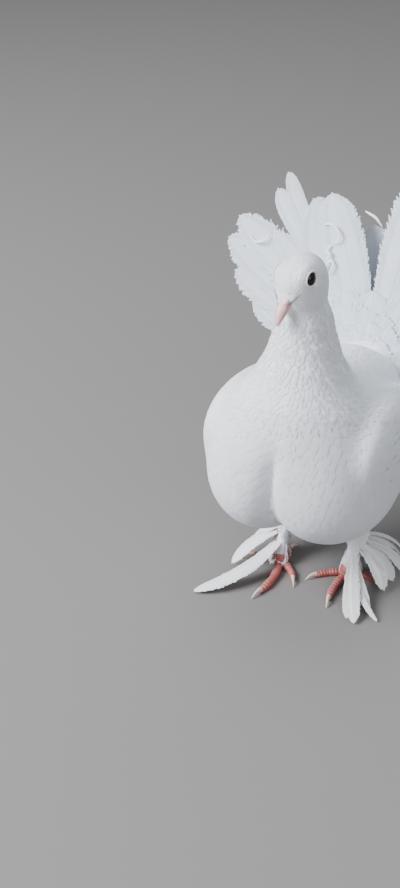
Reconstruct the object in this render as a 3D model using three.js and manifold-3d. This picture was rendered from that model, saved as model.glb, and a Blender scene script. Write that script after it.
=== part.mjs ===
// A life-size white fantail pigeon with feathered legs, standing with its fan raised.
// Millimetres, +Z up. The bird faces -Y and its left side is +X.
import * as THREE from "three";
import { mergeVertices } from "three/addons/utils/BufferGeometryUtils.js";
import Module from "manifold-3d";

const wasm = await Module();
wasm.setup();

// The gap that neighbouring solids keep, and how far one reaches into another before it is cut back.
const GAP = 0.34;
const EPS = 1e-6;

// The middle of the bird's outline on the floor, seen from the point between its feet.
const OUTLINE_MIDDLE = [0, 46];

// The masses of the body: centre, half-sizes along X, Y and Z, lean about X in degrees, and blend width.
const BREAST_LOBE = { at: [20, -16, 93], size: [41, 51, 43.5], lean: 4, blend: 5 };
const CROP = { at: [0, -25, 124], size: [44, 39, 34], lean: -14, blend: 26 };
const TRUNK = { at: [0, 20, 100], size: [46, 60, 43], lean: 10, blend: 22 };
const BELLY = { at: [0, 34, 76], size: [32, 40, 25], lean: 16, blend: 22 };
const RUMP = { at: [0, 60, 106], size: [26, 22, 20], lean: 20, blend: 22 };
const NECK_LINE = [
  { at: [0, -22, 140], radius: 34 },
  { at: [0, -17, 155], radius: 26.5 },
  { at: [0, -14, 172], radius: 20.5 },
  { at: [0, -12.5, 188], radius: 16.5 },
  { at: [-0.4, -13.5, 204], radius: 13.6 },
];
const NECK_BLEND = 16;
const CLEFT_BLEND = 3;
const BODY_CENTRE = [0, 0, 98];

// The head: its centre, how far it turns to the bird's right and looks down, and its masses along
// forward, left and up.
const HEAD_CENTRE = [-1.4, -15.4, 218];
const HEAD_TURN = 12;
const HEAD_DROP = 25;
const HEAD_MASSES = [
  { at: [0, 0, 0], size: [15.4, 12.7, 12.2], blend: 1 },
  { at: [8.5, 0, -2], size: [8.4, 7.4, 7.6], blend: 6 },
  { at: [-6.5, 0, -5], size: [11, 11.6, 12.4], blend: 6 },
  { at: [5.5, 0, -7.5], size: [8.4, 6.8, 6], blend: 6 },
];
const HEAD_BLEND = 9;
const NECK_CUT_LOW = { at: [0, -19, 151], tilt: 7 };
const NECK_CUT_HIGH = { at: [0, -13, 202], tilt: 12 };

// The eyes, lids and bill, in places along forward, left and up from the head's centre.
const EYE = { forward: 2.2, up: 5, radius: 4.9, sunk: 2.3 };
const LID = { radius: 4.75, tube: 0.8, out: 2.5 };
const BILL = { forward: 12.4, up: -1.4, drop: 21, length: 19, halfWidth: 5, rise: 4.5, depth: 2.9 };
const CERE = { along: 3.4, side: 1.9, up: 2.9, size: [4.2, 2.1, 2] };
const NOSTRIL = { along: 6.3, side: 3.1, up: 2.1, size: [2.4, 1, 0.5] };
const GAPE = { from: 8.5, to: 19, rise: 1.2, slope: 14, thick: 0.7, deep: 1.1 };

// The folded wing: a flattened mass on the side of the trunk, and its rows of flight feathers, each
// with the places of its first and last feather. The first lies innermost.
const WING = { at: [46, 10, 107], size: [15, 56, 30], lean: -14, turn: 5 };
const WING_STEP = 1.02;
const PRIMARIES = {
  count: 7, width: 14, inset: 0,
  first: { root: [43, 44, 77], tip: [33, 160, 56] }, last: { root: [45, 40, 86], tip: [35, 116, 66] },
};
const SECONDARIES = {
  count: 7, width: 15, inset: 7.2,
  first: { root: [45, 38, 84], tip: [35, 106, 66] }, last: { root: [44, 10, 106], tip: [35, 80, 83] },
};
const WING_COVERTS = { rows: [[26, 4], [8, 4], [-10, 3]], width: 19, length: 29, sink: 1.6, flare: 5 };

// The fan: its pivot, lean back from upright, dish, and the depth from one feather to the next.
const FAN = { at: [0, 87, 107], lean: 14, dish: 9, step: 1.1, width: 31, thick: 0.72 };
const FAN_BOSS = { back: 7, size: [29, 17, 23] };
const FEATHER = 134;
// Each tail feather: degrees from upright to the bird's left, reach of its tip, and where they differ
// its width and how far its tip is slanted.
const RECTRICES = [
  [11.5, 133], [19.5, 135], [27, 137], [34.5, 137], [42, 137], [49.5, 136], [57, 132], [64, 124],
  [71, 113], [78.5, 99], [87, 82],
  [-17.5, 120, 29], [-26, 118, 30, -0.1], [-32, 140, 21, 0.3], [-42.5, 124, 24], [-49.5, 136, 30],
  [-57, 130], [-65, 115, 28], [-73.5, 96, 27], [-83, 73, 25],
];
const SECOND_TIER = [[-6, 95, 27], [-40, 96], [-60, 92], [14, 98], [30, 100], [46, 100], [62, 92]];
const FRONT_COVERTS = { count: 8, spread: 66, reach: 56, width: 25 };
const BACK_COVERTS = { count: 8, spread: 70, reach: 64, width: 27 };

// Legs: where the leg leaves the belly, its hock, the foot's middle, and radii down the leg.
const LEG = { hip: [25, 12, 66], hock: [26, 15, 38], radii: [17, 12, 6.2, 4.4, 4.8] };
const FOOT_AT = { left: [23, 0], right: [-24, -6] };
const FOOT_PAD = { height: 5.4, size: [6.2, 6.6, 5.8] };
const ANKLE_CUT = 12.5;
const SOLE_SINK = 0.7;
// Each toe's claw tip on the floor, seen from the foot's middle, its radius and its claw's length.
const TOES = {
  left: {
    inner: { tip: [-24, -17], radius: 2.8, claw: 7.5, bow: -3 },
    middle: { tip: [0, -38], radius: 3.1, claw: 8.5, bow: -3 },
    outer: { tip: [26, -6], radius: 2.7, claw: 7, bow: 4 },
    hind: { tip: [-2, 21], radius: 2.7, claw: 6.5, bow: 2 },
  },
  right: {
    inner: { tip: [19, -21], radius: 2.8, claw: 7.5, bow: 3 },
    middle: { tip: [-1, -43], radius: 3.1, claw: 8.5, bow: 4 },
    outer: { tip: [-26, -6], radius: 2.7, claw: 7, bow: -4 },
    hind: { tip: [3, 22], radius: 2.7, claw: 6.5, bow: 2 },
  },
};

// Long feathers of each foot: root on the shank, tip by the floor, width and bow.
const MUFFS = {
  left: [
    [[25, 6, 19], [39, -43, 1.8], 9, 2],
    [[25, 7, 20.5], [46, -46, 2.2], 11, 3],
    [[25, 8, 22], [58, -38, 3], 9, 3],
    [[25, 8.6, 24], [51, -7, 3.2], 12, 4],
    [[25, 9.5, 26], [56, 11, 4.4], 12, 5],
    [[25, 10, 27.5], [48, 28, 5.6], 10, 5],
  ],
  right: [
    [[-25, 3, 18], [-62, -58, 1.8], 12, 0],
    [[-25, 5, 22], [-52, -23, 3.4], 12, 4],
    [[-25, 7, 25], [-48, -4, 5.6], 11, 4],
    [[-25, 9, 27], [-38, 24, 7.4], 10, 4],
  ],
};

// Finishes.
const paint = (color, roughness) => new THREE.MeshStandardMaterial({ color, roughness, metalness: 0 });
const PLUMAGE = paint(0xe9eaee, 0.8);
const HORN = paint(0xd9aaa6, 0.45);
const CERE_SKIN = paint(0xe6d3cd, 0.7);
const EYE_DARK = paint(0x14090b, 0.08);
const TOE_SKIN = paint(0xc0574c, 0.55);
const CLAW_HORN = paint(0xd8b3a4, 0.4);

const point = (p) => new THREE.Vector3(p[0], p[1], p[2]);
const radians = THREE.MathUtils.degToRad;
const flip = (p, side) => [p[0] * side, p[1], p[2]];

// A closed geometry as a solid.
function solidOf(geometry) {
  const bare = new THREE.BufferGeometry();
  bare.setAttribute("position", geometry.getAttribute("position"));
  if (geometry.index) bare.setIndex(geometry.index);
  const merged = mergeVertices(bare, 1e-4);
  const mesh = new wasm.Mesh({
    numProp: 3,
    vertProperties: merged.attributes.position.array,
    triVerts: new Uint32Array(merged.index.array),
  });
  return new wasm.Manifold(mesh);
}

// The largest closed body of a solid.
function largest(solid) {
  const bodies = solid.decompose();
  return bodies.reduce((best, body) => (body.volume() > best.volume() ? body : best));
}

function geometryOf(solid) {
  const mesh = solid.getMesh();
  const positions = new Float32Array(mesh.numVert * 3);
  for (let i = 0; i < mesh.numVert; i++)
    positions.set(mesh.vertProperties.subarray(i * mesh.numProp, i * mesh.numProp + 3), i * 3);
  const geometry = new THREE.BufferGeometry();
  geometry.setAttribute("position", new THREE.BufferAttribute(positions, 3));
  geometry.setIndex(new THREE.BufferAttribute(mesh.triVerts, 1));
  geometry.computeVertexNormals();
  return geometry;
}

const joined = (solids) => solids.reduce((all, solid) => all.add(solid));

// A solid from points and triangles, with its faces turned to point outwards.
function closedSolid(points, faces) {
  const geometry = new THREE.BufferGeometry();
  geometry.setAttribute("position", new THREE.Float32BufferAttribute(points.flatMap((p) => p.toArray()), 3));
  geometry.setIndex(faces);
  const solid = solidOf(geometry);
  if (solid.volume() > 0) return solid;
  geometry.setIndex(faces.slice().reverse());
  return solidOf(geometry);
}

// Distance-like value of an ellipsoid at p, negative inside.
function ellipsoidAt(local, size) {
  const scaled = Math.hypot(local.x / size[0], local.y / size[1], local.z / size[2]);
  const steep = Math.hypot(local.x / size[0] ** 2, local.y / size[1] ** 2, local.z / size[2] ** 2);
  return scaled < EPS ? -Math.min(...size) : (scaled * (scaled - 1)) / steep;
}

function blended(a, b, width) {
  const overlap = Math.max(width - Math.abs(a - b), 0);
  return Math.min(a, b) - (overlap * overlap) / (4 * width);
}

const X_AXIS = new THREE.Vector3(1, 0, 0);
const Z_AXIS = new THREE.Vector3(0, 0, 1);

function massAt(p, mass, side = 1) {
  const local = p.clone().sub(point(flip(mass.at, side)));
  return ellipsoidAt(local.applyAxisAngle(X_AXIS, radians(-mass.lean)), mass.size);
}

// The neck: a chain of round tapers from the crop to the skull.
function neckAt(p) {
  let nearest = Infinity;
  for (let i = 1; i < NECK_LINE.length; i++) {
    const [low, high] = [point(NECK_LINE[i - 1].at), point(NECK_LINE[i].at)];
    const span = high.clone().sub(low);
    const share = THREE.MathUtils.clamp(p.clone().sub(low).dot(span) / span.lengthSq(), 0, 1);
    const radius = THREE.MathUtils.lerp(NECK_LINE[i - 1].radius, NECK_LINE[i].radius, share);
    const value = p.distanceTo(low.addScaledVector(span, share)) - radius;
    nearest = blended(nearest, value, 4);
  }
  return nearest;
}

// The head's own axes.
const HEAD_FORWARD = new THREE.Vector3(
  -Math.sin(radians(HEAD_TURN)) * Math.cos(radians(HEAD_DROP)),
  -Math.cos(radians(HEAD_TURN)) * Math.cos(radians(HEAD_DROP)),
  -Math.sin(radians(HEAD_DROP)),
);
const HEAD_LEFT = new THREE.Vector3(Math.cos(radians(HEAD_TURN)), -Math.sin(radians(HEAD_TURN)), 0);
const HEAD_UP = new THREE.Vector3().crossVectors(HEAD_FORWARD, HEAD_LEFT);
const headPoint = (forward, left, up) =>
  point(HEAD_CENTRE)
    .addScaledVector(HEAD_FORWARD, forward)
    .addScaledVector(HEAD_LEFT, left)
    .addScaledVector(HEAD_UP, up);

function headAt(p) {
  const away = p.clone().sub(point(HEAD_CENTRE));
  const local = new THREE.Vector3(away.dot(HEAD_FORWARD), away.dot(HEAD_LEFT), away.dot(HEAD_UP));
  let value = Infinity;
  for (const mass of HEAD_MASSES)
    value = blended(value, ellipsoidAt(local.clone().sub(point(mass.at)), mass.size), mass.blend);
  return value;
}

// The whole bird's flesh and small plumage as one smooth form.
function fleshAt(p) {
  let value = blended(massAt(p, BREAST_LOBE, 1), massAt(p, BREAST_LOBE, -1), CLEFT_BLEND);
  for (const mass of [TRUNK, BELLY, RUMP]) value = blended(value, massAt(p, mass), mass.blend);
  value = blended(value, massAt(p, CROP), CROP.blend);
  value = blended(value, neckAt(p), NECK_BLEND);
  return blended(value, headAt(p), HEAD_BLEND);
}

// The distance from a centre, along a direction, to where the flesh ends.
function reach(centre, direction, most, grow) {
  let [inside, outside] = [0, most];
  for (let i = 0; i < 26; i++) {
    const middle = (inside + outside) / 2;
    if (fleshAt(centre.clone().addScaledVector(direction, middle)) < grow) inside = middle;
    else outside = middle;
  }
  return inside;
}

// A ball of even facets whose points are pushed out to the flesh's surface.
function wrapped(centre, stretch, detail, most, grow) {
  const ball = new THREE.IcosahedronGeometry(1, detail);
  const places = ball.getAttribute("position");
  const middle = point(centre);
  for (let i = 0; i < places.count; i++) {
    const direction = new THREE.Vector3().fromBufferAttribute(places, i);
    direction.multiply(point(stretch)).normalize();
    const at = middle.clone().addScaledVector(direction, reach(middle, direction, most, grow));
    places.setXYZ(i, at.x, at.y, at.z);
  }
  return solidOf(ball);
}

// A tube of rings along a curve: stations hold a centre and a radius.
function ringed(stations, sides, floor = -Infinity) {
  const curve = new THREE.CatmullRomCurve3(stations.map((s) => point(s.at)), false, "centripetal");
  const points = [];
  const count = stations.length;
  const frames = stations.map((s, i) => {
    const along = curve.getTangent(i / (count - 1));
    const side = new THREE.Vector3().crossVectors(along, s.up ? point(s.up) : Z_AXIS).normalize();
    return { side, up: new THREE.Vector3().crossVectors(side, along) };
  });
  stations.forEach((s, i) => {
    const [wide, tall] = [s.radius, s.radius * (s.tall ?? 1)];
    for (let k = 0; k < sides; k++) {
      const turn = (2 * Math.PI * k) / sides;
      const at = point(s.at)
        .addScaledVector(frames[i].side, wide * Math.cos(turn))
        .addScaledVector(frames[i].up, tall * Math.sin(turn));
      at.z = Math.max(at.z, floor);
      points.push(at);
    }
  });
  return closedSolid(points, ringFaces(count, sides));
}

// The faces of a closed stack of rings, with a fan on each end.
function ringFaces(rings, sides) {
  const faces = [];
  for (let i = 0; i + 1 < rings; i++)
    for (let k = 0; k < sides; k++) {
      const [a, b] = [i * sides + k, i * sides + ((k + 1) % sides)];
      faces.push(a, b, a + sides, b, b + sides, a + sides);
    }
  const last = (rings - 1) * sides;
  for (let k = 1; k + 1 < sides; k++) {
    faces.push(0, k + 1, k);
    faces.push(last, last + k, last + k + 1);
  }
  return faces;
}

// A thin curved plate: place(u, v) gives its middle surface and its face's direction, thick(u, v) its
// thickness. Both faces are split into triangles alike.
function plate(columns, rows, place, thick) {
  const points = [];
  for (const face of [0.5, -0.5])
    for (let j = 0; j <= rows; j++)
      for (let i = 0; i <= columns; i++) {
        const { at, out } = place(i / columns, j / rows);
        points.push(at.clone().addScaledVector(out, face * thick(i / columns, j / rows)));
      }
  const across = columns + 1;
  const below = across * (rows + 1);
  const faces = [];
  for (let j = 0; j < rows; j++)
    for (let i = 0; i < columns; i++) {
      const [a, b, c, d] = [j * across + i, j * across + i + 1, (j + 1) * across + i + 1, (j + 1) * across + i];
      faces.push(a, b, c, a, c, d);
      faces.push(below + a, below + c, below + b, below + a, below + d, below + c);
    }
  const wall = (a, b) => faces.push(a, below + a, b, b, below + a, below + b);
  for (let i = 0; i < columns; i++) {
    wall(i, i + 1);
    wall(rows * across + i + 1, rows * across + i);
  }
  for (let j = 0; j < rows; j++) {
    wall((j + 1) * across, j * across);
    wall(j * across + columns, (j + 1) * across + columns);
  }
  return closedSolid(points, faces);
}

// A big box below or above a tilted plane, to part the whole body with a thin cut.
function halfSpace(cut, above) {
  const size = 600;
  const box = new THREE.BoxGeometry(size, size, size);
  box.translate(0, 0, above ? size / 2 + GAP / 2 : -size / 2 - GAP / 2);
  box.rotateX(radians(cut.tilt));
  box.translate(...cut.at);
  return solidOf(box);
}

function ellipsoid(at, size, detail = 5) {
  const ball = new THREE.IcosahedronGeometry(1, detail);
  ball.scale(...size);
  ball.translate(...at);
  return solidOf(ball);
}

// An ellipsoid whose half-sizes lie along the head's axes, or along the bill's.
function headEllipsoid(centre, size, drop = 0, turn = 0, detail = 4) {
  const ball = new THREE.IcosahedronGeometry(1, detail);
  ball.scale(...size);
  const forward = HEAD_FORWARD.clone().applyAxisAngle(HEAD_LEFT, radians(drop));
  const left = HEAD_LEFT.clone().applyAxisAngle(HEAD_UP, radians(turn));
  const up = new THREE.Vector3().crossVectors(forward, left);
  ball.applyMatrix4(new THREE.Matrix4().makeBasis(forward, left, up).setPosition(centre));
  return solidOf(ball);
}

// The torso, and the same grown by the gap to cut its neighbours clear.
const torsoGrown = wrapped(BODY_CENTRE, [1, 1.2, 0.95], 7, 110, GAP).intersect(halfSpace(NECK_CUT_LOW, false));
const torso = () => wrapped(BODY_CENTRE, [1, 1.2, 0.95], 7, 110, 0).intersect(halfSpace(NECK_CUT_LOW, false));

// The neck: rings from below its low cut to above its high one, each pushed out to the flesh.
function neck() {
  const [rings, sides] = [9, 28];
  const points = [];
  for (let i = 0; i < rings; i++) {
    const share = -0.12 + 1.24 * (i / (rings - 1));
    const centre = point(NECK_CUT_LOW.at).lerp(point(NECK_CUT_HIGH.at), share);
    const tilt = THREE.MathUtils.lerp(NECK_CUT_LOW.tilt, NECK_CUT_HIGH.tilt, share);
    const back = new THREE.Vector3(0, 1, 0).applyAxisAngle(X_AXIS, radians(tilt));
    for (let k = 0; k < sides; k++) {
      const turn = (2 * Math.PI * k) / sides;
      const out = X_AXIS.clone().multiplyScalar(Math.cos(turn)).addScaledVector(back, Math.sin(turn));
      points.push(centre.clone().addScaledVector(out, reach(centre, out, 70, 0)));
    }
  }
  const tube = closedSolid(points, ringFaces(rings, sides));
  return tube.intersect(halfSpace(NECK_CUT_LOW, true)).intersect(halfSpace(NECK_CUT_HIGH, false));
}

// Where the skin of one cheek carries the eye, and the way the skin faces there.
function eyeSeat(side) {
  const across = HEAD_LEFT.clone().multiplyScalar(side);
  const inner = headPoint(EYE.forward, 0, EYE.up);
  const at = inner.clone().addScaledVector(across, reach(inner, across, 30, 0));
  const slope = [0, 1, 2].map((axis) => {
    const step = new THREE.Vector3().setComponent(axis, 0.5);
    return fleshAt(at.clone().add(step)) - fleshAt(at.clone().sub(step));
  });
  return { at, out: point(slope).normalize() };
}

function eyeball(side, grow = 0) {
  const { at, out } = eyeSeat(side);
  const ball = new THREE.IcosahedronGeometry(EYE.radius + grow, 2);
  ball.translate(...at.addScaledVector(out, -EYE.sunk).toArray());
  return solidOf(ball);
}

// The ring of the lids round one eye.
function lids(side) {
  const { at, out } = eyeSeat(side);
  const ring = new THREE.TorusGeometry(LID.radius, LID.tube, 5, 18);
  ring.lookAt(out);
  ring.translate(...at.addScaledVector(out, LID.out - EYE.sunk).toArray());
  return solidOf(ring);
}

// The line of the mouth behind the bill: a thin groove on each cheek.
function gapeGroove() {
  const groove = new THREE.BoxGeometry(GAPE.to - GAPE.from, 40, GAPE.thick);
  const forward = HEAD_FORWARD.clone().applyAxisAngle(HEAD_LEFT, radians(GAPE.slope));
  const up = new THREE.Vector3().crossVectors(forward, HEAD_LEFT);
  const centre = headPoint((GAPE.from + GAPE.to) / 2, 0, GAPE.rise - 2);
  groove.applyMatrix4(new THREE.Matrix4().makeBasis(forward, HEAD_LEFT, up).setPosition(centre));
  return solidOf(groove).subtract(wrapped(HEAD_CENTRE, [1, 1, 1], 5, 30, -GAPE.deep));
}

function head(grow = 0) {
  const skull = wrapped(HEAD_CENTRE, [1, 1, 1], 6, 30, grow).intersect(halfSpace(NECK_CUT_HIGH, true));
  const ringed = skull.add(lids(1)).add(lids(-1));
  return ringed.subtract(eyeball(1, GAP)).subtract(eyeball(-1, GAP)).subtract(gapeGroove());
}

// A point in the bill's own frame: along it, to the left and up from the line of the mouth.
const BILL_FORWARD = HEAD_FORWARD.clone().applyAxisAngle(HEAD_LEFT, radians(BILL.drop));
const BILL_UP = new THREE.Vector3().crossVectors(BILL_FORWARD, HEAD_LEFT);
const billPoint = (along, left, up) =>
  headPoint(BILL.forward, 0, BILL.up)
    .addScaledVector(BILL_FORWARD, along)
    .addScaledVector(HEAD_LEFT, left)
    .addScaledVector(BILL_UP, up);

// One jaw: half-round sections that narrow to the tip, its flat side on the line of the mouth.
function jaw(heightAt, length, grow = 0) {
  const [rings, sides, back] = [9, 12, -7];
  const points = [];
  for (let i = 0; i < rings; i++) {
    const share = i / (rings - 1);
    const along = back + (length - back) * share;
    const taper = Math.sqrt(Math.max(0.004, 1 - Math.max(0, along / length) ** 1.7));
    const wide = BILL.halfWidth * taper + grow;
    const tall = heightAt(Math.max(0, along / length)) + grow * Math.sign(heightAt(0));
    const droop = -1.1 * Math.max(0, along / length) ** 4;
    for (let k = 0; k < sides; k++) {
      const turn = (Math.PI * k) / (sides - 1);
      points.push(billPoint(along, wide * Math.cos(turn), tall * Math.sin(turn) + droop));
    }
  }
  return closedSolid(points, ringFaces(rings, sides));
}

const upperHeight = (share) => (BILL.rise * (1 - 0.35 * share)) * Math.sqrt(Math.max(0.02, 1 - share ** 3.2));
const lowerHeight = (share) => -BILL.depth * Math.sqrt(Math.max(0.03, 1 - share ** 2.2));

function nostrils() {
  return joined([1, -1].map((side) =>
    headEllipsoid(billPoint(NOSTRIL.along, NOSTRIL.side * side, NOSTRIL.up), NOSTRIL.size, BILL.drop, 0, 2)));
}

function cereBulbs(grow = 0) {
  const size = CERE.size.map((s) => s + grow);
  return joined([1, -1].map((side) =>
    headEllipsoid(billPoint(CERE.along, CERE.side * side, CERE.up), size, BILL.drop - 12, -14 * side, 2)));
}

// A row of flight feathers, each lying outside the one before.
function flightRow(side, { count, width, inset, first, last }) {
  return Array.from({ length: count }, (_, i) => {
    const share = i / (count - 1);
    const place = (key) => {
      const at = point(first[key]).lerp(point(last[key]), share);
      at.x = (at.x + inset + WING_STEP * i) * side;
      return at.toArray();
    };
    return vane({ root: place("root"), tip: place("tip"), width, face: [side, 0.05, 0.18], thick: 0.66, rows: 4, columns: 1 });
  });
}

// The short feathers of the folded wing: rows that lie on its mass, each tip over the next row.
function wingCoverts(side, turned) {
  const solids = [];
  WING_COVERTS.rows.forEach(([back, count], row) => {
    for (let i = 0; i < count; i++) {
      const rise = 21 * ((2 * i) / (count - 1) - 1) * Math.sqrt(1 - (back / 60) ** 2);
      const [, long, tall] = WING.size;
      const thick = WING.size[0] * Math.sqrt(Math.max(0.05, 1 - (back / long) ** 2 - (rise / tall) ** 2));
      const slope = new THREE.Vector3(thick / WING.size[0] ** 2, back / long ** 2, rise / tall ** 2).normalize();
      const root = new THREE.Vector3(thick, back, rise).addScaledVector(slope, -WING_COVERTS.sink + 0.9 * (i % 2));
      const back_ = new THREE.Vector3(0, 1, -0.16).projectOnPlane(slope).normalize();
      const tip = root.clone().addScaledVector(back_, WING_COVERTS.length);
      tip.addScaledVector(slope, WING_COVERTS.length * Math.tan(radians(WING_COVERTS.flare)) + 0.4 * row);
      const placed = [root, tip, slope].map((p) => flip(p.toArray(), side));
      solids.push(vane({
        root: turned(placed[0], true), tip: turned(placed[1], true), face: turned(placed[2], false),
        width: WING_COVERTS.width, thick: 0.7, rows: 3, columns: 1,
      }));
    }
  });
  return solids;
}

// A folded wing, cut clear of the body.
function wing(side) {
  const turn = new THREE.Matrix4().makeRotationX(radians(WING.lean));
  turn.premultiply(new THREE.Matrix4().makeRotationZ(radians(WING.turn * side)));
  const mass = new THREE.IcosahedronGeometry(1, 3);
  mass.scale(...WING.size);
  mass.applyMatrix4(turn);
  mass.translate(...flip(WING.at, side));
  const turned = (p, shift) => {
    const at = point(p).applyMatrix4(turn);
    return (shift ? at.add(point(flip(WING.at, side))) : at).toArray();
  };
  const feathers = [PRIMARIES, SECONDARIES].flatMap((row) => flightRow(side, row));
  const whole = joined([solidOf(mass), ...feathers, ...wingCoverts(side, turned)]);
  return largest(whole.subtract(torsoGrown));
}

// A place in the fan: distance from the pivot, angle from upright and depth behind the front feather.
const FAN_UP = new THREE.Vector3(0, Math.sin(radians(FAN.lean)), Math.cos(radians(FAN.lean)));
const FAN_FRONT = new THREE.Vector3().crossVectors(X_AXIS, FAN_UP).negate();
function fanPoint(radius, angle, depth) {
  const dish = FAN.dish * (radius / FEATHER) ** 2;
  return point(FAN.at)
    .addScaledVector(X_AXIS, radius * Math.sin(angle))
    .addScaledVector(FAN_UP, radius * Math.cos(angle))
    .addScaledVector(FAN_FRONT, dish - depth);
}

// One feather of the fan: it widens from a narrow root, its tip is rounded or slanted.
function fanVane([angle, tip, width = FAN.width, slant = 0], depth, rows = 5) {
  const turn = radians(angle);
  const from = 9;
  return plate(2, rows, (u, v) => {
    const share = v * (1.35 - 0.35 * v);
    const wide = width * (0.2 + 0.8 * Math.sin(Math.min(share * 1.75, 1.57))) * (1 - 0.45 * v ** 9);
    const across = (u - 0.5) * wide;
    const edge = 2 * u - 1;
    const reach = from + (tip - from) * share - width * (0.2 * edge ** 2 + slant * edge * 0.5) * v ** 7;
    const angleHere = turn + Math.atan2(across, reach);
    return { at: fanPoint(Math.hypot(reach, across), angleHere, depth), out: FAN_FRONT };
  }, (u, v) => FAN.thick * (1 - 0.25 * v));
}

// The tail feathers lie one behind the next from the middle outwards, with a second tier behind.
function tail() {
  const solids = [];
  const ordered = RECTRICES.slice().sort((a, b) => Math.abs(a[0]) - Math.abs(b[0]));
  let depth = 2 * FAN.step;
  ordered.forEach((feather, i) => {
    solids.push(fanVane(feather, depth));
    depth += Math.abs(feather[0]) < 38 ? FAN.step : FAN.step / 2 + 0.001 * i;
  });
  SECOND_TIER.forEach((feather, i) => solids.push(fanVane(feather, depth + FAN.step * (1 + (i % 2)), 3)));
  const row = ({ count, spread, reach: tip, width }, depths) => {
    for (let i = 0; i < count; i++) {
      const angle = spread * ((2 * i) / (count - 1) - 1);
      solids.push(fanVane([angle, tip * (1 + 0.08 * Math.sin(5 * i)), width], depths[i % 2], 3));
    }
  };
  row(FRONT_COVERTS, [FAN.step, 0]);
  row(BACK_COVERTS, [depth + 3 * FAN.step, depth + 4 * FAN.step]);
  const middle = point(FAN.at).addScaledVector(FAN_FRONT, -FAN_BOSS.back).toArray();
  return largest(joined(solids).add(ellipsoid(middle, FAN_BOSS.size, 3)).subtract(torsoGrown));
}

// A long feather from root to tip that bows toward the way it faces.
function vane({ root, tip, width, bow = 0, face, thick = 0.75, rows = 5, columns = 2, round = 0.45 }) {
  const [from, to, facing] = [point(root), point(tip), point(face).normalize()];
  const along = to.clone().sub(from).normalize();
  const across = along.clone().cross(facing).normalize();
  const out = across.clone().cross(along).normalize();
  return plate(columns, rows, (u, v) => {
    const share = v * (1.35 - 0.35 * v);
    const wide = width * (0.35 + 0.65 * Math.sin(Math.min(share * 2.1, 1.57))) * (1 - round * v ** 7);
    const edge = 2 * u - 1;
    const at = from.clone().lerp(to, share).addScaledVector(across, (wide * edge) / 2);
    at.addScaledVector(along, -0.22 * width * edge ** 2 * v ** 6);
    return { at: at.addScaledVector(out, bow * 4 * share * (1 - share)), out };
  }, (u, v) => thick * (1 - 0.3 * v));
}

// The long feathers of one foot, splayed on the outer side and behind.
const muffs = (name) => joined(MUFFS[name].map(([root, tip, width, bow]) =>
  vane({ root, tip, width, bow, face: [0, 0, 1], thick: 0.8, columns: 1 })));

const footCentre = (name) => [FOOT_AT[name][0], FOOT_AT[name][1], FOOT_PAD.height];

function pad(name, grow = 0) {
  const ball = new THREE.IcosahedronGeometry(1, 2);
  ball.scale(...FOOT_PAD.size.map((s) => s + grow));
  ball.translate(...footCentre(name));
  return solidOf(ball);
}

// The thigh's plumage, the hock and the shank, down into the foot.
function legWhole(name) {
  const side = name === "left" ? 1 : -1;
  const foot = footCentre(name);
  const [hip, hock] = [flip(LEG.hip, side), flip(LEG.hock, side)];
  const shank = (share) => hock.map((h, i) => h + (foot[i] - h) * share);
  const stations = [hip, hip.map((h, i) => (h + hock[i]) / 2), hock, shank(0.5), shank(1)];
  return ringed(stations.map((at, i) => ({ at, radius: LEG.radii[i], up: [0, 1, 0] })), 16);
}

const FLOOR_BOX = () => {
  const box = new THREE.BoxGeometry(600, 600, 100);
  box.translate(0, 0, -50);
  return solidOf(box);
};

function legAndFoot(name) {
  const whole = legWhole(name).add(pad(name)).subtract(FLOOR_BOX());
  const cut = { at: [0, 0, ANKLE_CUT], tilt: 0 };
  return {
    leg: largest(whole.intersect(halfSpace(cut, true)).add(muffs(name)).subtract(torsoGrown)),
    foot: largest(whole.intersect(halfSpace(cut, false))),
  };
}

// A place on a toe's curved line: a share of the way out to the claw's tip, and a height.
function toePlace(name, key, share, height) {
  const { tip, bow } = TOES[name][key];
  const length = Math.hypot(...tip);
  const side = (bow * Math.sin(Math.PI * share)) / length;
  const [cx, cy] = FOOT_AT[name];
  return [cx + tip[0] * share - tip[1] * side, cy + tip[1] * share + tip[0] * side, height];
}

// The share of a toe's line where the flesh ends and the claw starts.
function fleshEnd(name, key) {
  const { tip, claw } = TOES[name][key];
  return 1 - claw / Math.hypot(...tip);
}

// A toe: a low tube that swells under each joint, flat where it stands.
function toeTube(name, key, grow = 0) {
  const { radius } = TOES[name][key];
  const end = fleshEnd(name, key);
  const stations = [];
  for (let i = 0; i <= 8; i++) {
    const thick = radius * (1 - 0.036 * i) * (1 + 0.08 * Math.sin(i * 2.4));
    const share = 0.06 + (end - 0.06) * (i / 8);
    stations.push({ at: toePlace(name, key, share, thick - SOLE_SINK), radius: thick + grow });
  }
  return ringed(stations, 8, grow > 0 ? -Infinity : 0);
}

function toe(name, key) {
  const flesh = toeTube(name, key).subtract(pad(name, GAP));
  return largest(key === "middle" ? flesh : flesh.subtract(toeTube(name, "middle", GAP)));
}

function claw(name, key) {
  const { radius, tip } = TOES[name][key];
  const start = fleshEnd(name, key) + GAP / Math.hypot(...tip);
  const stations = [];
  for (let i = 0; i <= 5; i++) {
    const thick = radius * 0.56 * (1 - i / 5) + 0.22;
    const arch = 2.3 + 1.2 * Math.sin((Math.PI * i) / 5) - 1.7 * (i / 5);
    const at = toePlace(name, key, start + (1 - start) * (i / 5), arch);
    stations.push({ at, radius: thick, tall: 1.15 });
  }
  return ringed(stations, 6, 0);
}

const bird = new THREE.Group();
bird.position.set(-OUTLINE_MIDDLE[0], -OUTLINE_MIDDLE[1], 0);

function show(name, solid, finish) {
  const mesh = new THREE.Mesh(geometryOf(solid), finish);
  mesh.name = name;
  bird.add(mesh);
}

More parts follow.
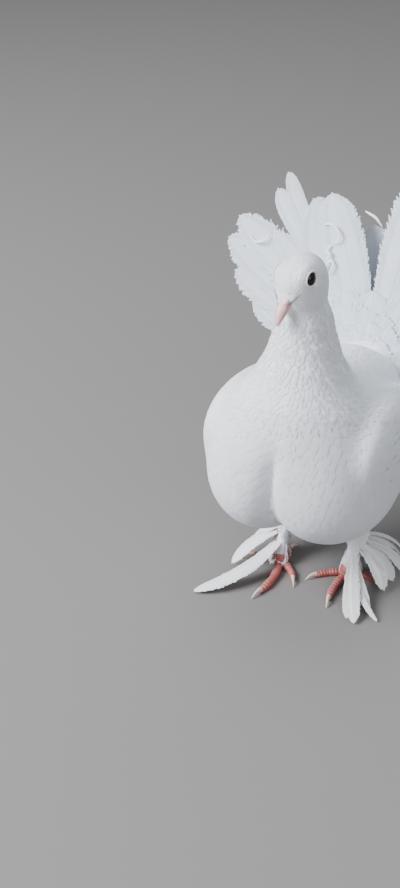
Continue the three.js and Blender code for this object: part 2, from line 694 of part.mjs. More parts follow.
show("torso", torso(), PLUMAGE);
show("neck", neck(), PLUMAGE);
show("head", head(), PLUMAGE);
const headGrown = head(GAP);
const upper = jaw(upperHeight, BILL.length).subtract(headGrown).subtract(nostrils());
show("bill_upper", largest(upper.subtract(cereBulbs(GAP))), HORN);
const lowerJaw = jaw(lowerHeight, BILL.length - 1.2);
show("bill_lower", largest(lowerJaw.translate(BILL_UP.clone().multiplyScalar(-GAP).toArray())
  .subtract(headGrown)), HORN);
show("cere", largest(cereBulbs().subtract(headGrown)), CERE_SKIN);
for (const [name, side] of [["left", 1], ["right", -1]]) {
  show("eye_" + name, eyeball(side), EYE_DARK);
  show("wing_" + name, wing(side), PLUMAGE);
  const { leg, foot } = legAndFoot(name);
  show("leg_" + name, leg, PLUMAGE);
  show("foot_" + name, foot, TOE_SKIN);
  for (const key of Object.keys(TOES[name])) {
    show(`toe_${key}_${name}`, toe(name, key), TOE_SKIN);
    show(`claw_${key}_${name}`, claw(name, key), CLAW_HORN);
  }
}
show("tail", tail(), PLUMAGE);

export default bird;
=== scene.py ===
"""Dresses a life-size white fantail pigeon: skin, plumage, bill, eyes, feet, stage and camera."""

from __future__ import annotations

import logging
import math
from dataclasses import dataclass
from enum import Enum

import bmesh
import bpy
import numpy as np
from mathutils import Matrix, Vector

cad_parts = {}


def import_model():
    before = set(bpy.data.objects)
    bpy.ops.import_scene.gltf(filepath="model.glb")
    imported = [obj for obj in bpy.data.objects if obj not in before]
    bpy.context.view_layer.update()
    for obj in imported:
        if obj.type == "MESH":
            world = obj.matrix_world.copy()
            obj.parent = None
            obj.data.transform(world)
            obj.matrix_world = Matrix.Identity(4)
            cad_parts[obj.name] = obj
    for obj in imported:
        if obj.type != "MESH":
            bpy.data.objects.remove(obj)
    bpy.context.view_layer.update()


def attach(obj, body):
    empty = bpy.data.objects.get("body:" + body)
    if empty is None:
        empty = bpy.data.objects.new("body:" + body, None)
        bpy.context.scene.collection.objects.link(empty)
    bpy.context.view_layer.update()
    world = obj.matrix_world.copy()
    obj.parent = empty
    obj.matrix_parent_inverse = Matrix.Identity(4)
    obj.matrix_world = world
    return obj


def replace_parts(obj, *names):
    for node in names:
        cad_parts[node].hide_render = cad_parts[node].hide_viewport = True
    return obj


log = logging.getLogger("fantail")

Array = np.ndarray

MM = 0.001
FRONT_SHIFT = np.array([0.0, -46.0, 0.0])
BAKE_MAP = "OFBake"
BAKE_PATCH = 0.003
SKIN_DEPTH = 0.22
VOXEL = 1.5
SEED = 20417
X_AXIS = np.array([1.0, 0.0, 0.0])
UP = np.array([0.0, 0.0, 1.0])
BODY_MIDDLE = np.array([0.0, 5.0, 98.0])
NECK_AXIS_Y = -14.0
NECK_FROM_Z = 150.0
NECK_HEIGHT = 90.0


class Side(Enum):
    """The two sides of the bird, as the sign of X."""

    LEFT = 1
    RIGHT = -1

    @property
    def word(self) -> str:
        """The side's name as the solids spell it."""
        return self.name.lower()


def unit(v: Array) -> Array:
    """Scales vectors to length one.

    Args:
        v: Vectors along the last axis.

    Returns:
        The same directions with unit length.
    """
    return v / (np.linalg.norm(v, axis=-1, keepdims=True) + 1e-12)


def ramp(x: Array, low: float, high: float) -> Array:
    """A smooth step from 0 at low to 1 at high.

    Args:
        x: The values to map.
        low: Where the step starts.
        high: Where the step ends.

    Returns:
        Values between 0 and 1.
    """
    t = np.clip((x - low) / (high - low), 0.0, 1.0)
    return t * t * (3.0 - 2.0 * t)


def full_turn(count: int) -> Array:
    """Angles spaced evenly round a full turn.

    Args:
        count: How many.

    Returns:
        The angles in radians.
    """
    return np.linspace(0, 2 * math.pi, count, endpoint=False)


def blended(a: Array, b: Array, width: float) -> Array:
    """Joins two distance-like fields with a soft crease.

    Args:
        a: Values of the first field.
        b: Values of the second field.
        width: How wide the soft crease is, in millimetres.

    Returns:
        The joined field's values.
    """
    overlap = np.maximum(width - np.abs(a - b), 0.0)
    return np.minimum(a, b) - overlap * overlap / (4.0 * width)


def ellipsoid(p: Array, size: Array) -> Array:
    """Distance-like value of an ellipsoid at the origin.

    Args:
        p: Points along the last axis.
        size: The three half-sizes.

    Returns:
        Values that are negative inside.
    """
    scaled = np.linalg.norm(p / size, axis=-1)
    steep = np.linalg.norm(p / size**2, axis=-1) + 1e-9
    return scaled * (scaled - 1.0) / steep


def leaned(p: Array, degrees: float) -> Array:
    """Turns points about the X axis.

    Args:
        p: Points along the last axis.
        degrees: The turn.

    Returns:
        The turned points.
    """
    c, s = math.cos(math.radians(degrees)), math.sin(math.radians(degrees))
    y, z = p[..., 1] * c - p[..., 2] * s, p[..., 1] * s + p[..., 2] * c
    return np.stack([p[..., 0], y, z], -1)


@dataclass(frozen=True)
class Mass:
    """One ellipsoid of the body: centre, half-sizes, lean about X, blend width and turn about Z."""

    at: tuple[float, float, float]
    size: tuple[float, float, float]
    lean: float = 0.0
    blend: float = 22.0
    turn: float = 0.0

    def value(self, p: Array, side: int = 1) -> Array:
        """Distance-like value of the mass.

        Args:
            p: Points in millimetres.
            side: -1 mirrors the mass to the bird's right.

        Returns:
            Values that are negative inside.
        """
        q = p - np.array(self.at) * [side, 1, 1]
        if self.turn:
            turn = math.radians(-self.turn * side)
            c, s = math.cos(turn), math.sin(turn)
            x, y, z = q[..., 0], q[..., 1], q[..., 2]
            q = np.stack([x * c - y * s, x * s + y * c, z], -1)
        return ellipsoid(leaned(q, -self.lean), np.array(self.size))


BREAST_LOBE = Mass((20, -16, 93), (41, 51, 43.5), 4, 5)
CROP = Mass((0, -25, 124), (44, 39, 34), -14, 26)
TRUNK = Mass((0, 20, 100), (46, 60, 43), 10, 22)
BELLY = Mass((0, 34, 76), (32, 40, 25), 16, 22)
RUMP = Mass((0, 60, 106), (26, 22, 20), 20, 22)
CLEFT_BLEND = 3.0
NECK_BLEND = 16.0
HEAD_BLEND = 9.0
NECK_LINE = (
    ((0, -22, 140), 34.0),
    ((0, -17, 155), 26.5),
    ((0, -14, 172), 20.5),
    ((0, -12.5, 188), 16.5),
    ((-0.4, -13.5, 204), 13.6),
)
HEAD_CENTRE = np.array([-1.4, -15.4, 218.0])
HEAD_TURN = 12.0
HEAD_DROP = 25.0
HEAD_MASSES = (
    Mass((0, 0, 0), (15.4, 12.7, 12.2), 0, 1),
    Mass((8.5, 0, -2), (8.4, 7.4, 7.6), 0, 6),
    Mass((-6.5, 0, -5), (11, 11.6, 12.4), 0, 6),
    Mass((5.5, 0, -7.5), (8.4, 6.8, 6), 0, 6),
)
WING = Mass((46, 10, 107), (15, 56, 30), -14, 9, 5)
TAIL_BASE = Mass((0, 94, 109), (25, 13, 20), -14, 8)
EYE_PLACE = (2.2, 5.0)
EYE_BOSS = Mass((2.2, 7.5, 5.0), (6.6, 3.9, 6.4), 0, 4)
EYE_OPENING = 4.4


def chain_value(p: Array, line: tuple, blend: float) -> Array:
    """Distance-like value of a row of round tapers.

    Args:
        p: Points in millimetres.
        line: Centres with their radii.
        blend: Blend width between neighbours.

    Returns:
        Values that are negative inside.
    """
    total = None
    for (a, ra), (b, rb) in zip(line, line[1:]):
        low, high = np.array(a, float), np.array(b, float)
        span = high - low
        share = np.clip((p - low) @ span / (span @ span), 0.0, 1.0)
        away = np.linalg.norm(p - low - share[..., None] * span, axis=-1)
        value = away - (ra + (rb - ra) * share)
        total = value if total is None else blended(total, value, blend)
    return total


class HeadAxes:
    """The head's own directions and places along them."""

    def __init__(self) -> None:
        turn, drop = math.radians(HEAD_TURN), math.radians(HEAD_DROP)
        level = math.cos(drop)
        self.forward = np.array([-math.sin(turn) * level, -math.cos(turn) * level, -math.sin(drop)])
        self.left = np.array([math.cos(turn), -math.sin(turn), 0.0])
        self.up = np.cross(self.forward, self.left)

    def place(self, forward: Array | float, left: Array | float, up: Array | float) -> Array:
        """A point given along the head's axes.

        Args:
            forward: Millimetres forward of the head's centre.
            left: Millimetres to the bird's left.
            up: Millimetres up.

        Returns:
            The point in the bird's frame.
        """
        return HEAD_CENTRE + self.forward * forward + self.left * left + self.up * up

    def local(self, p: Array) -> Array:
        """Points seen along the head's axes.

        Args:
            p: Points in the bird's frame.

        Returns:
            Forward, left and up of each point.
        """
        q = p - HEAD_CENTRE
        return np.stack([q @ self.forward, q @ self.left, q @ self.up], -1)


HEAD = HeadAxes()
LEG_RADII = (17.0, 12.0, 6.0, 3.9, 4.2)
FOOT_AT = {Side.LEFT: (23.0, 0.0), Side.RIGHT: (-24.0, -6.0)}
FOOT_HEIGHT = 5.4


def leg_line(side: Side) -> tuple:
    """The centres and radii from the belly down to the foot.

    Args:
        side: Which leg.

    Returns:
        Centres with their radii.
    """
    sign = side.value
    hip, hock = np.array([25.0 * sign, 12, 66]), np.array([26.0 * sign, 15, 38])
    foot = np.array([*FOOT_AT[side], FOOT_HEIGHT + 4.0])
    places = [hip, (hip + hock) / 2, hock, (hock + foot) / 2, foot]
    return tuple((tuple(place), radius) for place, radius in zip(places, LEG_RADII))


LEG_LINES = {side: leg_line(side) for side in Side}


class BirdForm:
    """The smooth form of flesh and small plumage, as a field that is negative inside."""

    def flesh(self, p: Array) -> Array:
        """The field of trunk, neck and head without wings and legs.

        Args:
            p: Points in millimetres.

        Returns:
            Values that are negative inside.
        """
        value = blended(BREAST_LOBE.value(p, 1), BREAST_LOBE.value(p, -1), CLEFT_BLEND)
        for mass in (TRUNK, BELLY, RUMP, CROP):
            value = blended(value, mass.value(p), mass.blend)
        value = blended(value, chain_value(p, NECK_LINE, 4.0), NECK_BLEND)
        local = HEAD.local(p)
        head = HEAD_MASSES[0].value(local)
        for mass in HEAD_MASSES[1:]:
            head = blended(head, mass.value(local), mass.blend)
        return blended(value, head, HEAD_BLEND)

    def value(self, p: Array) -> Array:
        """The field of the whole bird without its long feathers.

        Args:
            p: Points in millimetres.

        Returns:
            Values that are negative inside.
        """
        value = self.flesh(p)
        for side in Side:
            value = blended(value, WING.value(p, side.value), WING.blend)
            value = blended(value, chain_value(p, LEG_LINES[side], 3.0), 4.0)
            value = blended(value, self.boss(p, side), EYE_BOSS.blend)
        return blended(value, TAIL_BASE.value(p), TAIL_BASE.blend) + self.parting(p)

    @staticmethod
    def boss(p: Array, side: Side) -> Array:
        """The field of the low rise that carries one eye.

        Args:
            p: Points in millimetres.
            side: Which eye.

        Returns:
            Values that are negative inside.
        """
        local = HEAD.local(p) * [1, side.value, 1] - np.array(EYE_BOSS.at)
        return ellipsoid(local, np.array(EYE_BOSS.size))

    @staticmethod
    def parting(p: Array) -> Array:
        """The groove where the breast's plumage parts, deepest low on the front.

        Args:
            p: Points in millimetres.

        Returns:
            How far the surface is pressed in.
        """
        x, y, z = p[..., 0], p[..., 1], p[..., 2]
        line = -4.5 + 8.5 * ramp(z, 68.0, 142.0)
        deep = 3.4 * ramp(z, 44.0, 66.0) * (1 - ramp(z, 108.0, 142.0)) * (1 - ramp(y, -40.0, -15.0))
        return deep * np.exp(-np.abs((x - line) / np.where(x > line, 3.4, 6.5)) ** 1.4)

    def slope(self, p: Array) -> tuple[Array, Array]:
        """The field's value and gradient.

        Args:
            p: Points in millimetres.

        Returns:
            The values and the gradients.
        """
        step = 0.25
        here = self.value(p)
        rises = [(self.value(p + step * axis) - here) / step for axis in np.eye(3)]
        return here, np.stack(rises, -1)

    def settle(self, p: Array, level: Array | float, rounds: int = 3) -> tuple[Array, Array]:
        """Moves points along the slope until they lie at a level.

        Args:
            p: Points in millimetres.
            level: The level wanted, above the surface where positive.
            rounds: How often to step.

        Returns:
            The moved points and the way the surface faces there.
        """
        gradient = p
        for _ in range(rounds):
            here, gradient = self.slope(p)
            step = (here - level) / (np.sum(gradient * gradient, -1) + 1e-9)
            p = p - np.clip(step, -6.0, 6.0)[..., None] * gradient
        return p, unit(gradient)


FORM = BirdForm()


def eye_seat(side: Side) -> tuple[Array, Array]:
    """Where the cheek carries the eye.

    Args:
        side: Which eye.

    Returns:
        The place on the cheek and the way it faces.
    """
    forward, up = EYE_PLACE
    low, high = 0.0, 30.0
    for _ in range(40):
        middle = (low + high) / 2
        inside = FORM.value(HEAD.place(forward, middle * side.value, up)[None])[0] < 0
        low, high = (middle, high) if inside else (low, middle)
    at = HEAD.place(forward, low * side.value, up)
    return at, unit(HEAD.left * side.value + 0.1 * unit(FORM.slope(at[None])[1][0]))


EYE_SEATS = {side: eye_seat(side) for side in Side}


class Mesh:
    """Gathers plain arrays of points and faces and makes one object of them."""

    def __init__(self, name: str) -> None:
        self.name = name
        self.points: list[Array] = []
        self.quads: list[Array] = []
        self.bake: list[Array] = []
        self.vane: list[Array] = []
        self.facing: list[Array] = []
        self.count = 0

    def add(
        self, points: Array, quads: Array, bake: Array | None = None, vane: Array | None = None,
        facing: Array | None = None,
    ) -> None:
        """Adds one block of points and faces.

        Args:
            points: Points in millimetres.
            quads: Four corners each; a triangle repeats its last corner.
            bake: Each point's place on the baked map.
            vane: Each point's across and along in metres and its feather's random value.
            facing: The way the surface is shaded as facing, where it isn't the mesh's own.
        """
        points = points.reshape(-1, 3)
        self.points.append(points)
        self.quads.append(quads.reshape(-1, 4) + self.count)
        self.bake.append(np.zeros((len(points), 2)) if bake is None else bake.reshape(-1, 2))
        self.vane.append(np.zeros((len(points), 3)) if vane is None else vane.reshape(-1, 3))
        if facing is not None:
            self.facing.append(facing.reshape(-1, 3))
        self.count += len(points)

    def build(self, finish: bpy.types.Material, slot: str, coat: bool = False) -> bpy.types.Object:
        """Makes the object and gives it its finish and body.

        Args:
            finish: The material.
            slot: Not used.
            coat: Whether it carries the feather values and the baked map.

        Returns:
            The finished object.
        """
        points = (np.concatenate(self.points) + FRONT_SHIFT) * MM
        quads = np.concatenate(self.quads)
        mesh = bpy.data.meshes.new(self.name)
        mesh.vertices.add(len(points))
        mesh.vertices.foreach_set("co", points.ravel())
        triangles = quads[:, 2] == quads[:, 3]
        sizes = np.where(triangles, 3, 4)
        corners = quads.ravel()[np.repeat([[True] * 4], len(quads), 0).ravel() & np.stack(
            [np.ones_like(triangles)] * 3 + [~triangles], -1).ravel()]
        mesh.loops.add(len(corners))
        mesh.loops.foreach_set("vertex_index", corners.astype(np.int32))
        mesh.polygons.add(len(quads))
        starts = np.concatenate([[0], np.cumsum(sizes)[:-1]])
        mesh.polygons.foreach_set("loop_start", starts.astype(np.int32))
        mesh.update(calc_edges=True)
        mesh.validate()
        if not self.facing:
            work = bmesh.new()
            work.from_mesh(mesh)
            bmesh.ops.recalc_face_normals(work, faces=work.faces)
            work.to_mesh(mesh)
            work.free()
        mesh.shade_smooth()
        if coat:
            uv = mesh.uv_layers.new(name=BAKE_MAP)
            uv.data.foreach_set("uv", np.concatenate(self.bake)[corners].astype(np.float32).ravel())
            values = mesh.attributes.new("vane", "FLOAT_VECTOR", "POINT")
            values.data.foreach_set("vector", np.concatenate(self.vane).astype(np.float32).ravel())
        if self.facing:
            self._face(mesh)
        piece = bpy.data.objects.new(self.name, mesh)
        bpy.context.scene.collection.objects.link(piece)
        dress(piece, finish)
        return piece

    def _face(self, mesh: bpy.types.Mesh) -> None:
        """Gives every corner the way it is shaded as facing, and a plate's rim its own.

        Args:
            mesh: The mesh to shade.
        """
        corners = np.zeros(len(mesh.loops), np.int32)
        mesh.loops.foreach_get("vertex_index", corners)
        sizes = np.zeros(len(mesh.polygons), np.int32)
        mesh.polygons.foreach_get("loop_total", sizes)
        flat = np.zeros(len(mesh.polygons) * 3)
        mesh.polygons.foreach_get("normal", flat)
        each = np.concatenate(self.facing)[corners]
        starts = np.concatenate([[0], np.cumsum(sizes)[:-1]])
        mean = np.add.reduceat(each, starts, axis=0) / sizes[:, None]
        rim = np.repeat(np.linalg.norm(mean, axis=-1) < 0.7, sizes)
        each = np.where(rim[:, None], np.repeat(flat.reshape(-1, 3), sizes, 0), each)
        mesh.normals_split_custom_set(each.astype(np.float32))


def dress(piece: bpy.types.Object, finish: bpy.types.Material) -> None:
    """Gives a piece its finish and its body.

    Args:
        piece: The object.
        finish: Its material.
    """
    piece.data.materials.clear()
    piece.data.materials.append(finish)
    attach(piece, "root")


def unwrap(p: Array) -> Array:
    """Places of points on an unwrap of the skin: round the bird and from belly to crown.

    Args:
        p: Points in millimetres.

    Returns:
        Two numbers from 0 to 1 for each point.
    """
    q = p - BODY_MIDDLE
    round_body = np.arctan2(q[..., 0], -q[..., 1]) / (2 * math.pi) + 0.5
    steep = np.arctan2(q[..., 2], np.hypot(q[..., 0], q[..., 1])) / math.pi + 0.5
    round_neck = np.arctan2(p[..., 0], NECK_AXIS_Y - p[..., 1]) / (2 * math.pi) + 0.5
    high = ramp(p[..., 2], 146.0, 156.0)
    across = round_body * (1 - high) + round_neck * high
    above = p[..., 2] - NECK_FROM_Z
    upward = np.where(above > 0, 0.62 + 0.36 * above / NECK_HEIGHT, 0.02 + 0.6 * steep)
    return np.stack([0.01 + 0.98 * across, np.clip(upward, 0.01, 0.99)], -1)


class Shell:
    """The faces of a thin closed plate of a given number of cells, both sides and rim."""

    def __init__(self, across: int, along: int) -> None:
        self.across, self.along = across, along
        a, b = np.meshgrid(np.linspace(-1, 1, across + 1), np.linspace(0, 1, along + 1))
        self.grid = np.stack([a.ravel(), b.ravel()], -1)
        self.size = len(self.grid)
        self.quads = self._faces()

    def _faces(self) -> Array:
        """Lists the corners of both sides and the rim.

        Returns:
            The quads' corners.
        """
        row = self.across + 1
        faces = []
        for j in range(self.along):
            for i in range(self.across):
                a, b, c, d = j * row + i, j * row + i + 1, (j + 1) * row + i + 1, (j + 1) * row + i
                faces.append((a, b, c, d))
                faces.append((self.size + a, self.size + d, self.size + c, self.size + b))
        last = self.along * row
        rim = [(i, i + 1) for i in range(self.across)]
        rim += [(last + i + 1, last + i) for i in range(self.across)]
        rim += [((j + 1) * row, j * row) for j in range(self.along)]
        rim += [(j * row + self.across, (j + 1) * row + self.across) for j in range(self.along)]
        faces += [(a, self.size + a, self.size + b, b) for a, b in rim]
        return np.array(faces)

    def many(self, count: int) -> Array:
        """The faces of several such plates in one block.

        Args:
            count: How many plates.

        Returns:
            The quads' corners.
        """
        return (self.quads[None] + (np.arange(count) * 2 * self.size)[:, None, None]).reshape(-1, 4)


class Lie:
    """Which way the small feathers lie, and how big they are, over the whole form."""

    def direction(self, p: Array) -> Array:
        """The way the feathers point.

        Args:
            p: Points in millimetres.

        Returns:
            One direction for each point, before it is laid on the surface.
        """
        x, y, z = p[..., 0], p[..., 1], p[..., 2]
        zero = x * 0
        back = ramp(y, -55.0, 25.0)[..., None]
        front_way = np.stack([x / 60 * 0.45, zero + 0.2, zero - 1.0], -1)
        back_way = np.stack([-x / 60 * 0.15, zero + 1.0, -0.35 * ramp(z, 90.0, 140.0)], -1)
        way = front_way * (1 - back) + back_way * back
        neck = ramp(z, 140.0, 165.0)[..., None]
        way = way * (1 - neck) + np.array([0.0, 0.12, -1.0]) * neck
        head = ramp(z, 200.0, 208.0)[..., None]
        bill = HEAD.place(14.0, 0.0, -1.0)
        below = HEAD.local(p)[..., 2:3] < 0
        way = way * (1 - head) + unit(unit(p - bill) - 0.25 * HEAD.up * below) * head
        leg = (1 - ramp(z, 38.0, 50.0))[..., None]
        way = way * (1 - leg) + np.array([0.0, -0.25, -1.0]) * leg
        wing = self.on_wing(p)[..., None]
        return way * (1 - wing) + np.array([0.0, 1.0, -0.3]) * wing

    @staticmethod
    def on_wing(p: Array) -> Array:
        """How much a place belongs to a wing.

        Args:
            p: Points in millimetres.

        Returns:
            0 on the body to 1 on the wing.
        """
        best = np.minimum(WING.value(p, 1), WING.value(p, -1))
        return 1.0 - ramp(best - FORM.flesh(p), -7.0, -1.0)


LIE = Lie()


@dataclass(frozen=True)
class CoatPatch:
    """One piece of small plumage: how close its feathers stand and how they are made."""

    name: str
    spacing: float
    length: float
    width: float
    lift: float
    thick: float = 0.14
    across: int = 4
    along: int = 5
    loose: float = 0.1
    crown: float = 0.2
    root: float = 0.5


class SmallPlumage:
    """Lays overlapping feathers over the skin, row over row."""

    def __init__(self, skin: bpy.types.Object, rng: np.random.Generator) -> None:
        self.rng = rng
        mesh = skin.data
        mesh.calc_loop_triangles()
        points = np.zeros(len(mesh.vertices) * 3)
        mesh.vertices.foreach_get("co", points)
        self.points = points.reshape(-1, 3) / MM - FRONT_SHIFT
        corners = np.zeros(len(mesh.loop_triangles) * 3, np.int32)
        mesh.loop_triangles.foreach_get("vertices", corners)
        self.corners = corners.reshape(-1, 3)
        a, b, c = (self.points[self.corners[:, i]] for i in range(3))
        self.areas = np.linalg.norm(np.cross(b - a, c - a), axis=-1) / 2

    def scatter(self, spacing: float, mask: Array) -> Array:
        """Picks root places with an even spacing.

        Args:
            spacing: The least distance between two roots.
            mask: Which of the skin's triangles may carry roots.

        Returns:
            The root places.
        """
        areas = self.areas * mask
        wanted = int(areas.sum() / spacing**2 * 7) + 10
        picks = self.rng.choice(len(areas), wanted, p=areas / areas.sum())
        u, v = self.rng.random(wanted), self.rng.random(wanted)
        u, v = np.where(u + v > 1, 1 - u, u), np.where(u + v > 1, 1 - v, v)
        a, b, c = (self.points[self.corners[picks, i]] for i in range(3))
        places = a + u[:, None] * (b - a) + v[:, None] * (c - a)
        cells: dict[tuple[int, int, int], list[Array]] = {}
        kept = []
        for place in places:
            key = tuple(np.floor(place / spacing).astype(int))
            near = (
                cells.get((key[0] + i, key[1] + j, key[2] + k), ())
                for i in (-1, 0, 1) for j in (-1, 0, 1) for k in (-1, 0, 1)
            )
            if all(np.sum((other - place) ** 2) > spacing**2 for cell in near for other in cell):
                cells.setdefault(key, []).append(place)
                kept.append(place)
        return np.array(kept)

    def lay(self, patch: CoatPatch, mask: Array, finish: bpy.types.Material) -> bpy.types.Object:
        """Makes one patch of feathers.

        Args:
            patch: The feathers' sizes.
            mask: Which of the skin's triangles may carry them.
            finish: Their material.

        Returns:
            The patch as one object.
        """
        roots = self.scatter(patch.spacing, mask)
        roots, out = FORM.settle(roots, 0.0)
        count = len(roots)
        way = LIE.direction(roots)
        way = unit(way - out * np.sum(way * out, -1, keepdims=True))
        across = np.cross(out, way)
        twist = self.rng.normal(0, patch.loose, count)[:, None]
        way, across = unit(way + across * twist), unit(across - way * twist)
        size = self.rng.uniform(0.86, 1.14, count)
        shell = Shell(patch.across, patch.along)
        a, b = shell.grid[:, 0], shell.grid[:, 1]
        grow = np.sin(np.clip(b * 1.9 + 0.32, 0, math.pi / 2))
        outline = grow * np.sqrt(np.clip(1 - (b**4) * 0.93, 0, 1))
        wide = patch.width / 2 * size[:, None] * (a * outline)[None]
        long = patch.length * size[:, None] * (b - 0.12 * a * a * b)[None]
        points = roots[:, None] + way[:, None] * long[..., None]
        points = points + across[:, None] * wide[..., None]
        loft = self.rng.uniform(0.75, 1.3, count)[:, None]
        rise = (patch.root + patch.lift * loft) * (b**0.7)[None] - patch.root
        rise = rise - 0.22 * (a * a)[None] * patch.lift
        top, facing = FORM.settle(points, rise, 2)
        low = top - facing * patch.thick * (1.2 - b)[None, :, None]
        sway = self.rng.normal(0, patch.crown * 0.25, count)[:, None]
        arch = (b[None] - 0.35) * patch.crown * 0.9 + sway
        curve = a[None, :, None] * across[:, None] * patch.crown + way[:, None] * arch[..., None]
        shaded = unit(facing + curve)
        block = np.concatenate([top, low], 1)
        bake = unwrap(roots)[:, None] + (shell.grid * [0.5, 1] - [0, 0.5])[None] * BAKE_PATCH
        luck = self.rng.random(count)[:, None] + shell.grid[None, :, 0] * 0
        vane = np.stack([wide * MM, long * MM, luck], -1)
        mesh = Mesh(patch.name)
        both = [np.concatenate([pair, pair], 1) for pair in (bake, vane)]
        mesh.add(block, shell.many(count)[:, ::-1], *both, np.concatenate([shaded, shaded], 1))
        log.info("%s: %d feathers", patch.name, count)
        return mesh.build(finish, "plumage", True)


@dataclass(frozen=True)
class VaneShape:
    """A long feather's outline: slanted or blunt tip, sideways bend and how its edge is frayed."""

    length: float
    width: float
    slant: float = 0.0
    fray: float = 0.05
    blunt: float = 0.4
    narrow: float = 0.3
    shaft: float = 0.75
    bend: float = 0.0
    start: float = 0.0


class LongFeathers:
    """Builds flight, tail and foot feathers: smooth vane, loose barbs along the edge, and shaft."""

    BARB_STEP = 1.35
    BARB_TURN = 1.0

    def __init__(self, name: str, rng: np.random.Generator) -> None:
        self.mesh = Mesh(name)
        self.rng = rng
        self.sheet = Shell(8, 24)
        self.barb = Shell(1, 3)

    def add(self, shape: VaneShape, place, root: Array) -> None:
        """Adds one feather.

        Args:
            shape: Its outline.
            place: Turns millimetres across and along into points and facings.
            root: The root's place, for the baked map.
        """
        luck, patch = self.rng.random(), unwrap(root[None])[0]
        self._vane(shape, place, patch, luck)
        self._barbs(shape, place, patch, luck)
        self._shaft(shape, place, patch, luck)

    @staticmethod
    def reach(s: Array, shape: VaneShape) -> Array:
        """How far the vane reaches from its shaft.

        Args:
            s: Shares of the shaft.
            shape: The feather's outline.

        Returns:
            Millimetres from the shaft.
        """
        grow = shape.narrow + (1 - shape.narrow) * np.sin(np.clip(s * 2.0, 0, math.pi / 2))
        tip = (1 - shape.blunt * s**5) * np.sqrt(np.clip(1 - s**16, 0, 1))
        return shape.width / 2 * grow * tip

    @staticmethod
    def at(x: Array, s: Array, shape: VaneShape) -> tuple[Array, Array]:
        """Lays a place of the flat outline down with the tip's slant and bend.

        Args:
            x: Millimetres from the shaft.
            s: Shares of the shaft.
            shape: The feather's outline.

        Returns:
            Millimetres across and along.
        """
        along = shape.length * (shape.start + (1 - shape.start) * s)
        edge = x / (shape.width / 2)
        cut = (0.16 * edge**2 + shape.slant * 0.5 * edge) * shape.width
        along = along - cut * np.clip(s, 0, 1.1) ** 6
        return x + shape.bend * np.clip(s, 0, 1.05) ** 6, along

    def _vane(self, shape: VaneShape, place, patch: Array, luck: float) -> None:
        """Adds the vane's smooth sheet.

        Args:
            shape: The feather's outline.
            place: Turns millimetres across and along into points and facings.
            patch: The root's place on the baked map.
            luck: The feather's random value.
        """
        a, b = self.sheet.grid.T
        s = 1 - (1 - b) ** 1.25
        x = a * self.reach(s, shape) * 0.93
        across, along = self.at(x, s, shape)
        points, facing = place(across, along)
        beside = unit(place(across + 0.5, along)[0] - points)
        wave = 0.05 * np.sin(along * 0.21 + luck * 9)
        wave = wave + 0.22 * np.sign(a) * np.exp(-np.abs(x) / 2.5)
        shaded = unit(facing + beside * wave[:, None])
        low = points - facing * (0.34 - 0.1 * b[:, None])
        vane = np.stack([x * MM, along * MM, along * 0 + luck], -1)
        bake = patch + (self.sheet.grid * [0.5, 1] - [0, 0.5]) * BAKE_PATCH
        pair = [np.concatenate([part, part]) for part in (bake, vane)]
        block, faced = np.concatenate([points, low]), np.concatenate([shaded, -facing])
        self.mesh.add(block, self.sheet.quads, *pair, faced)

    def _barbs(self, shape: VaneShape, place, patch: Array, luck: float) -> None:
        """Adds loose barbs along both edges and round the tip.

        Args:
            shape: The feather's outline.
            place: Turns millimetres across and along into points and facings.
            patch: The root's place on the baked map.
            luck: The feather's random value.
        """
        count = max(int(shape.length * (1 - shape.start) / self.BARB_STEP), 8)
        s = np.tile(1 - (1 - np.linspace(0.03, 1.0, count)) ** 1.25, 2)[:, None]
        side = np.repeat([-1.0, 1.0], count)[:, None]
        grow, t = (self.barb.grid[:, 0])[None], (self.barb.grid[:, 1])[None]
        luck_each = np.clip(self.rng.normal(0, 1, (2 * count, 3)), -1.7, 1.7)
        wisp = shape.fray * np.abs(luck_each[:, :1]) * (0.35 + 0.65 * s)
        inner = 0.72 - 0.1 * shape.fray
        turn = self.BARB_TURN + shape.fray * 0.5 * luck_each[:, 1:2]
        turn = turn + shape.fray * 1.6 * luck_each[:, 2:3] * t**2
        turn = turn * (1 - 0.75 * s**10)
        edge = self.reach(s, shape)
        step = edge * (1.0 - inner) / 0.43 + 0.7
        run = step * (1 + 2.4 * wisp) * t
        width = self.BARB_STEP * 1.5 * (1 - 0.6 * t**2) * (1 - 0.5 * np.clip(wisp * 3, 0, 1) * t)
        x = side * (edge * inner + run * np.sin(1.57 - turn) * 0.8)
        x = x - side * grow * width * 0.5 * np.sin(turn)
        ahead = run * np.sin(turn) + grow * width * 0.5 * np.cos(turn) - step * 0.7
        across, along = self.at(x, s + x * 0, shape)
        points, facing = place(across, along + ahead)
        curl = 0.16 * np.abs(luck_each[:, 1:2]) + shape.fray * 2.2 * luck_each[:, 2:3]
        lift = 0.05 + curl * t**2
        points = points + facing * lift[..., None]
        low = points - facing * (0.3 * (1 - 0.6 * t))[..., None]
        shaded = unit(facing + 0.05 * luck_each[:, None, :])
        vane = np.stack([x * MM, (along + ahead) * MM, x * 0 + luck], -1)
        bake = patch + (self.barb.grid * [0.5, 1] - [0, 0.5]) * BAKE_PATCH
        bake = bake + s[..., None] * 0
        pair = [np.concatenate([part, part], 1) for part in (bake, vane)]
        quads = self.barb.many(2 * count).reshape(2 * count, -1, 4)
        quads[count:] = quads[count:, :, ::-1]
        quads = np.where((quads[..., :1] == quads[..., 1:2]), quads[..., [1, 2, 3, 3]], quads)
        block, faced = np.concatenate([points, low], 1), np.concatenate([shaded, -facing], 1)
        self.mesh.add(block, quads, *pair, faced)

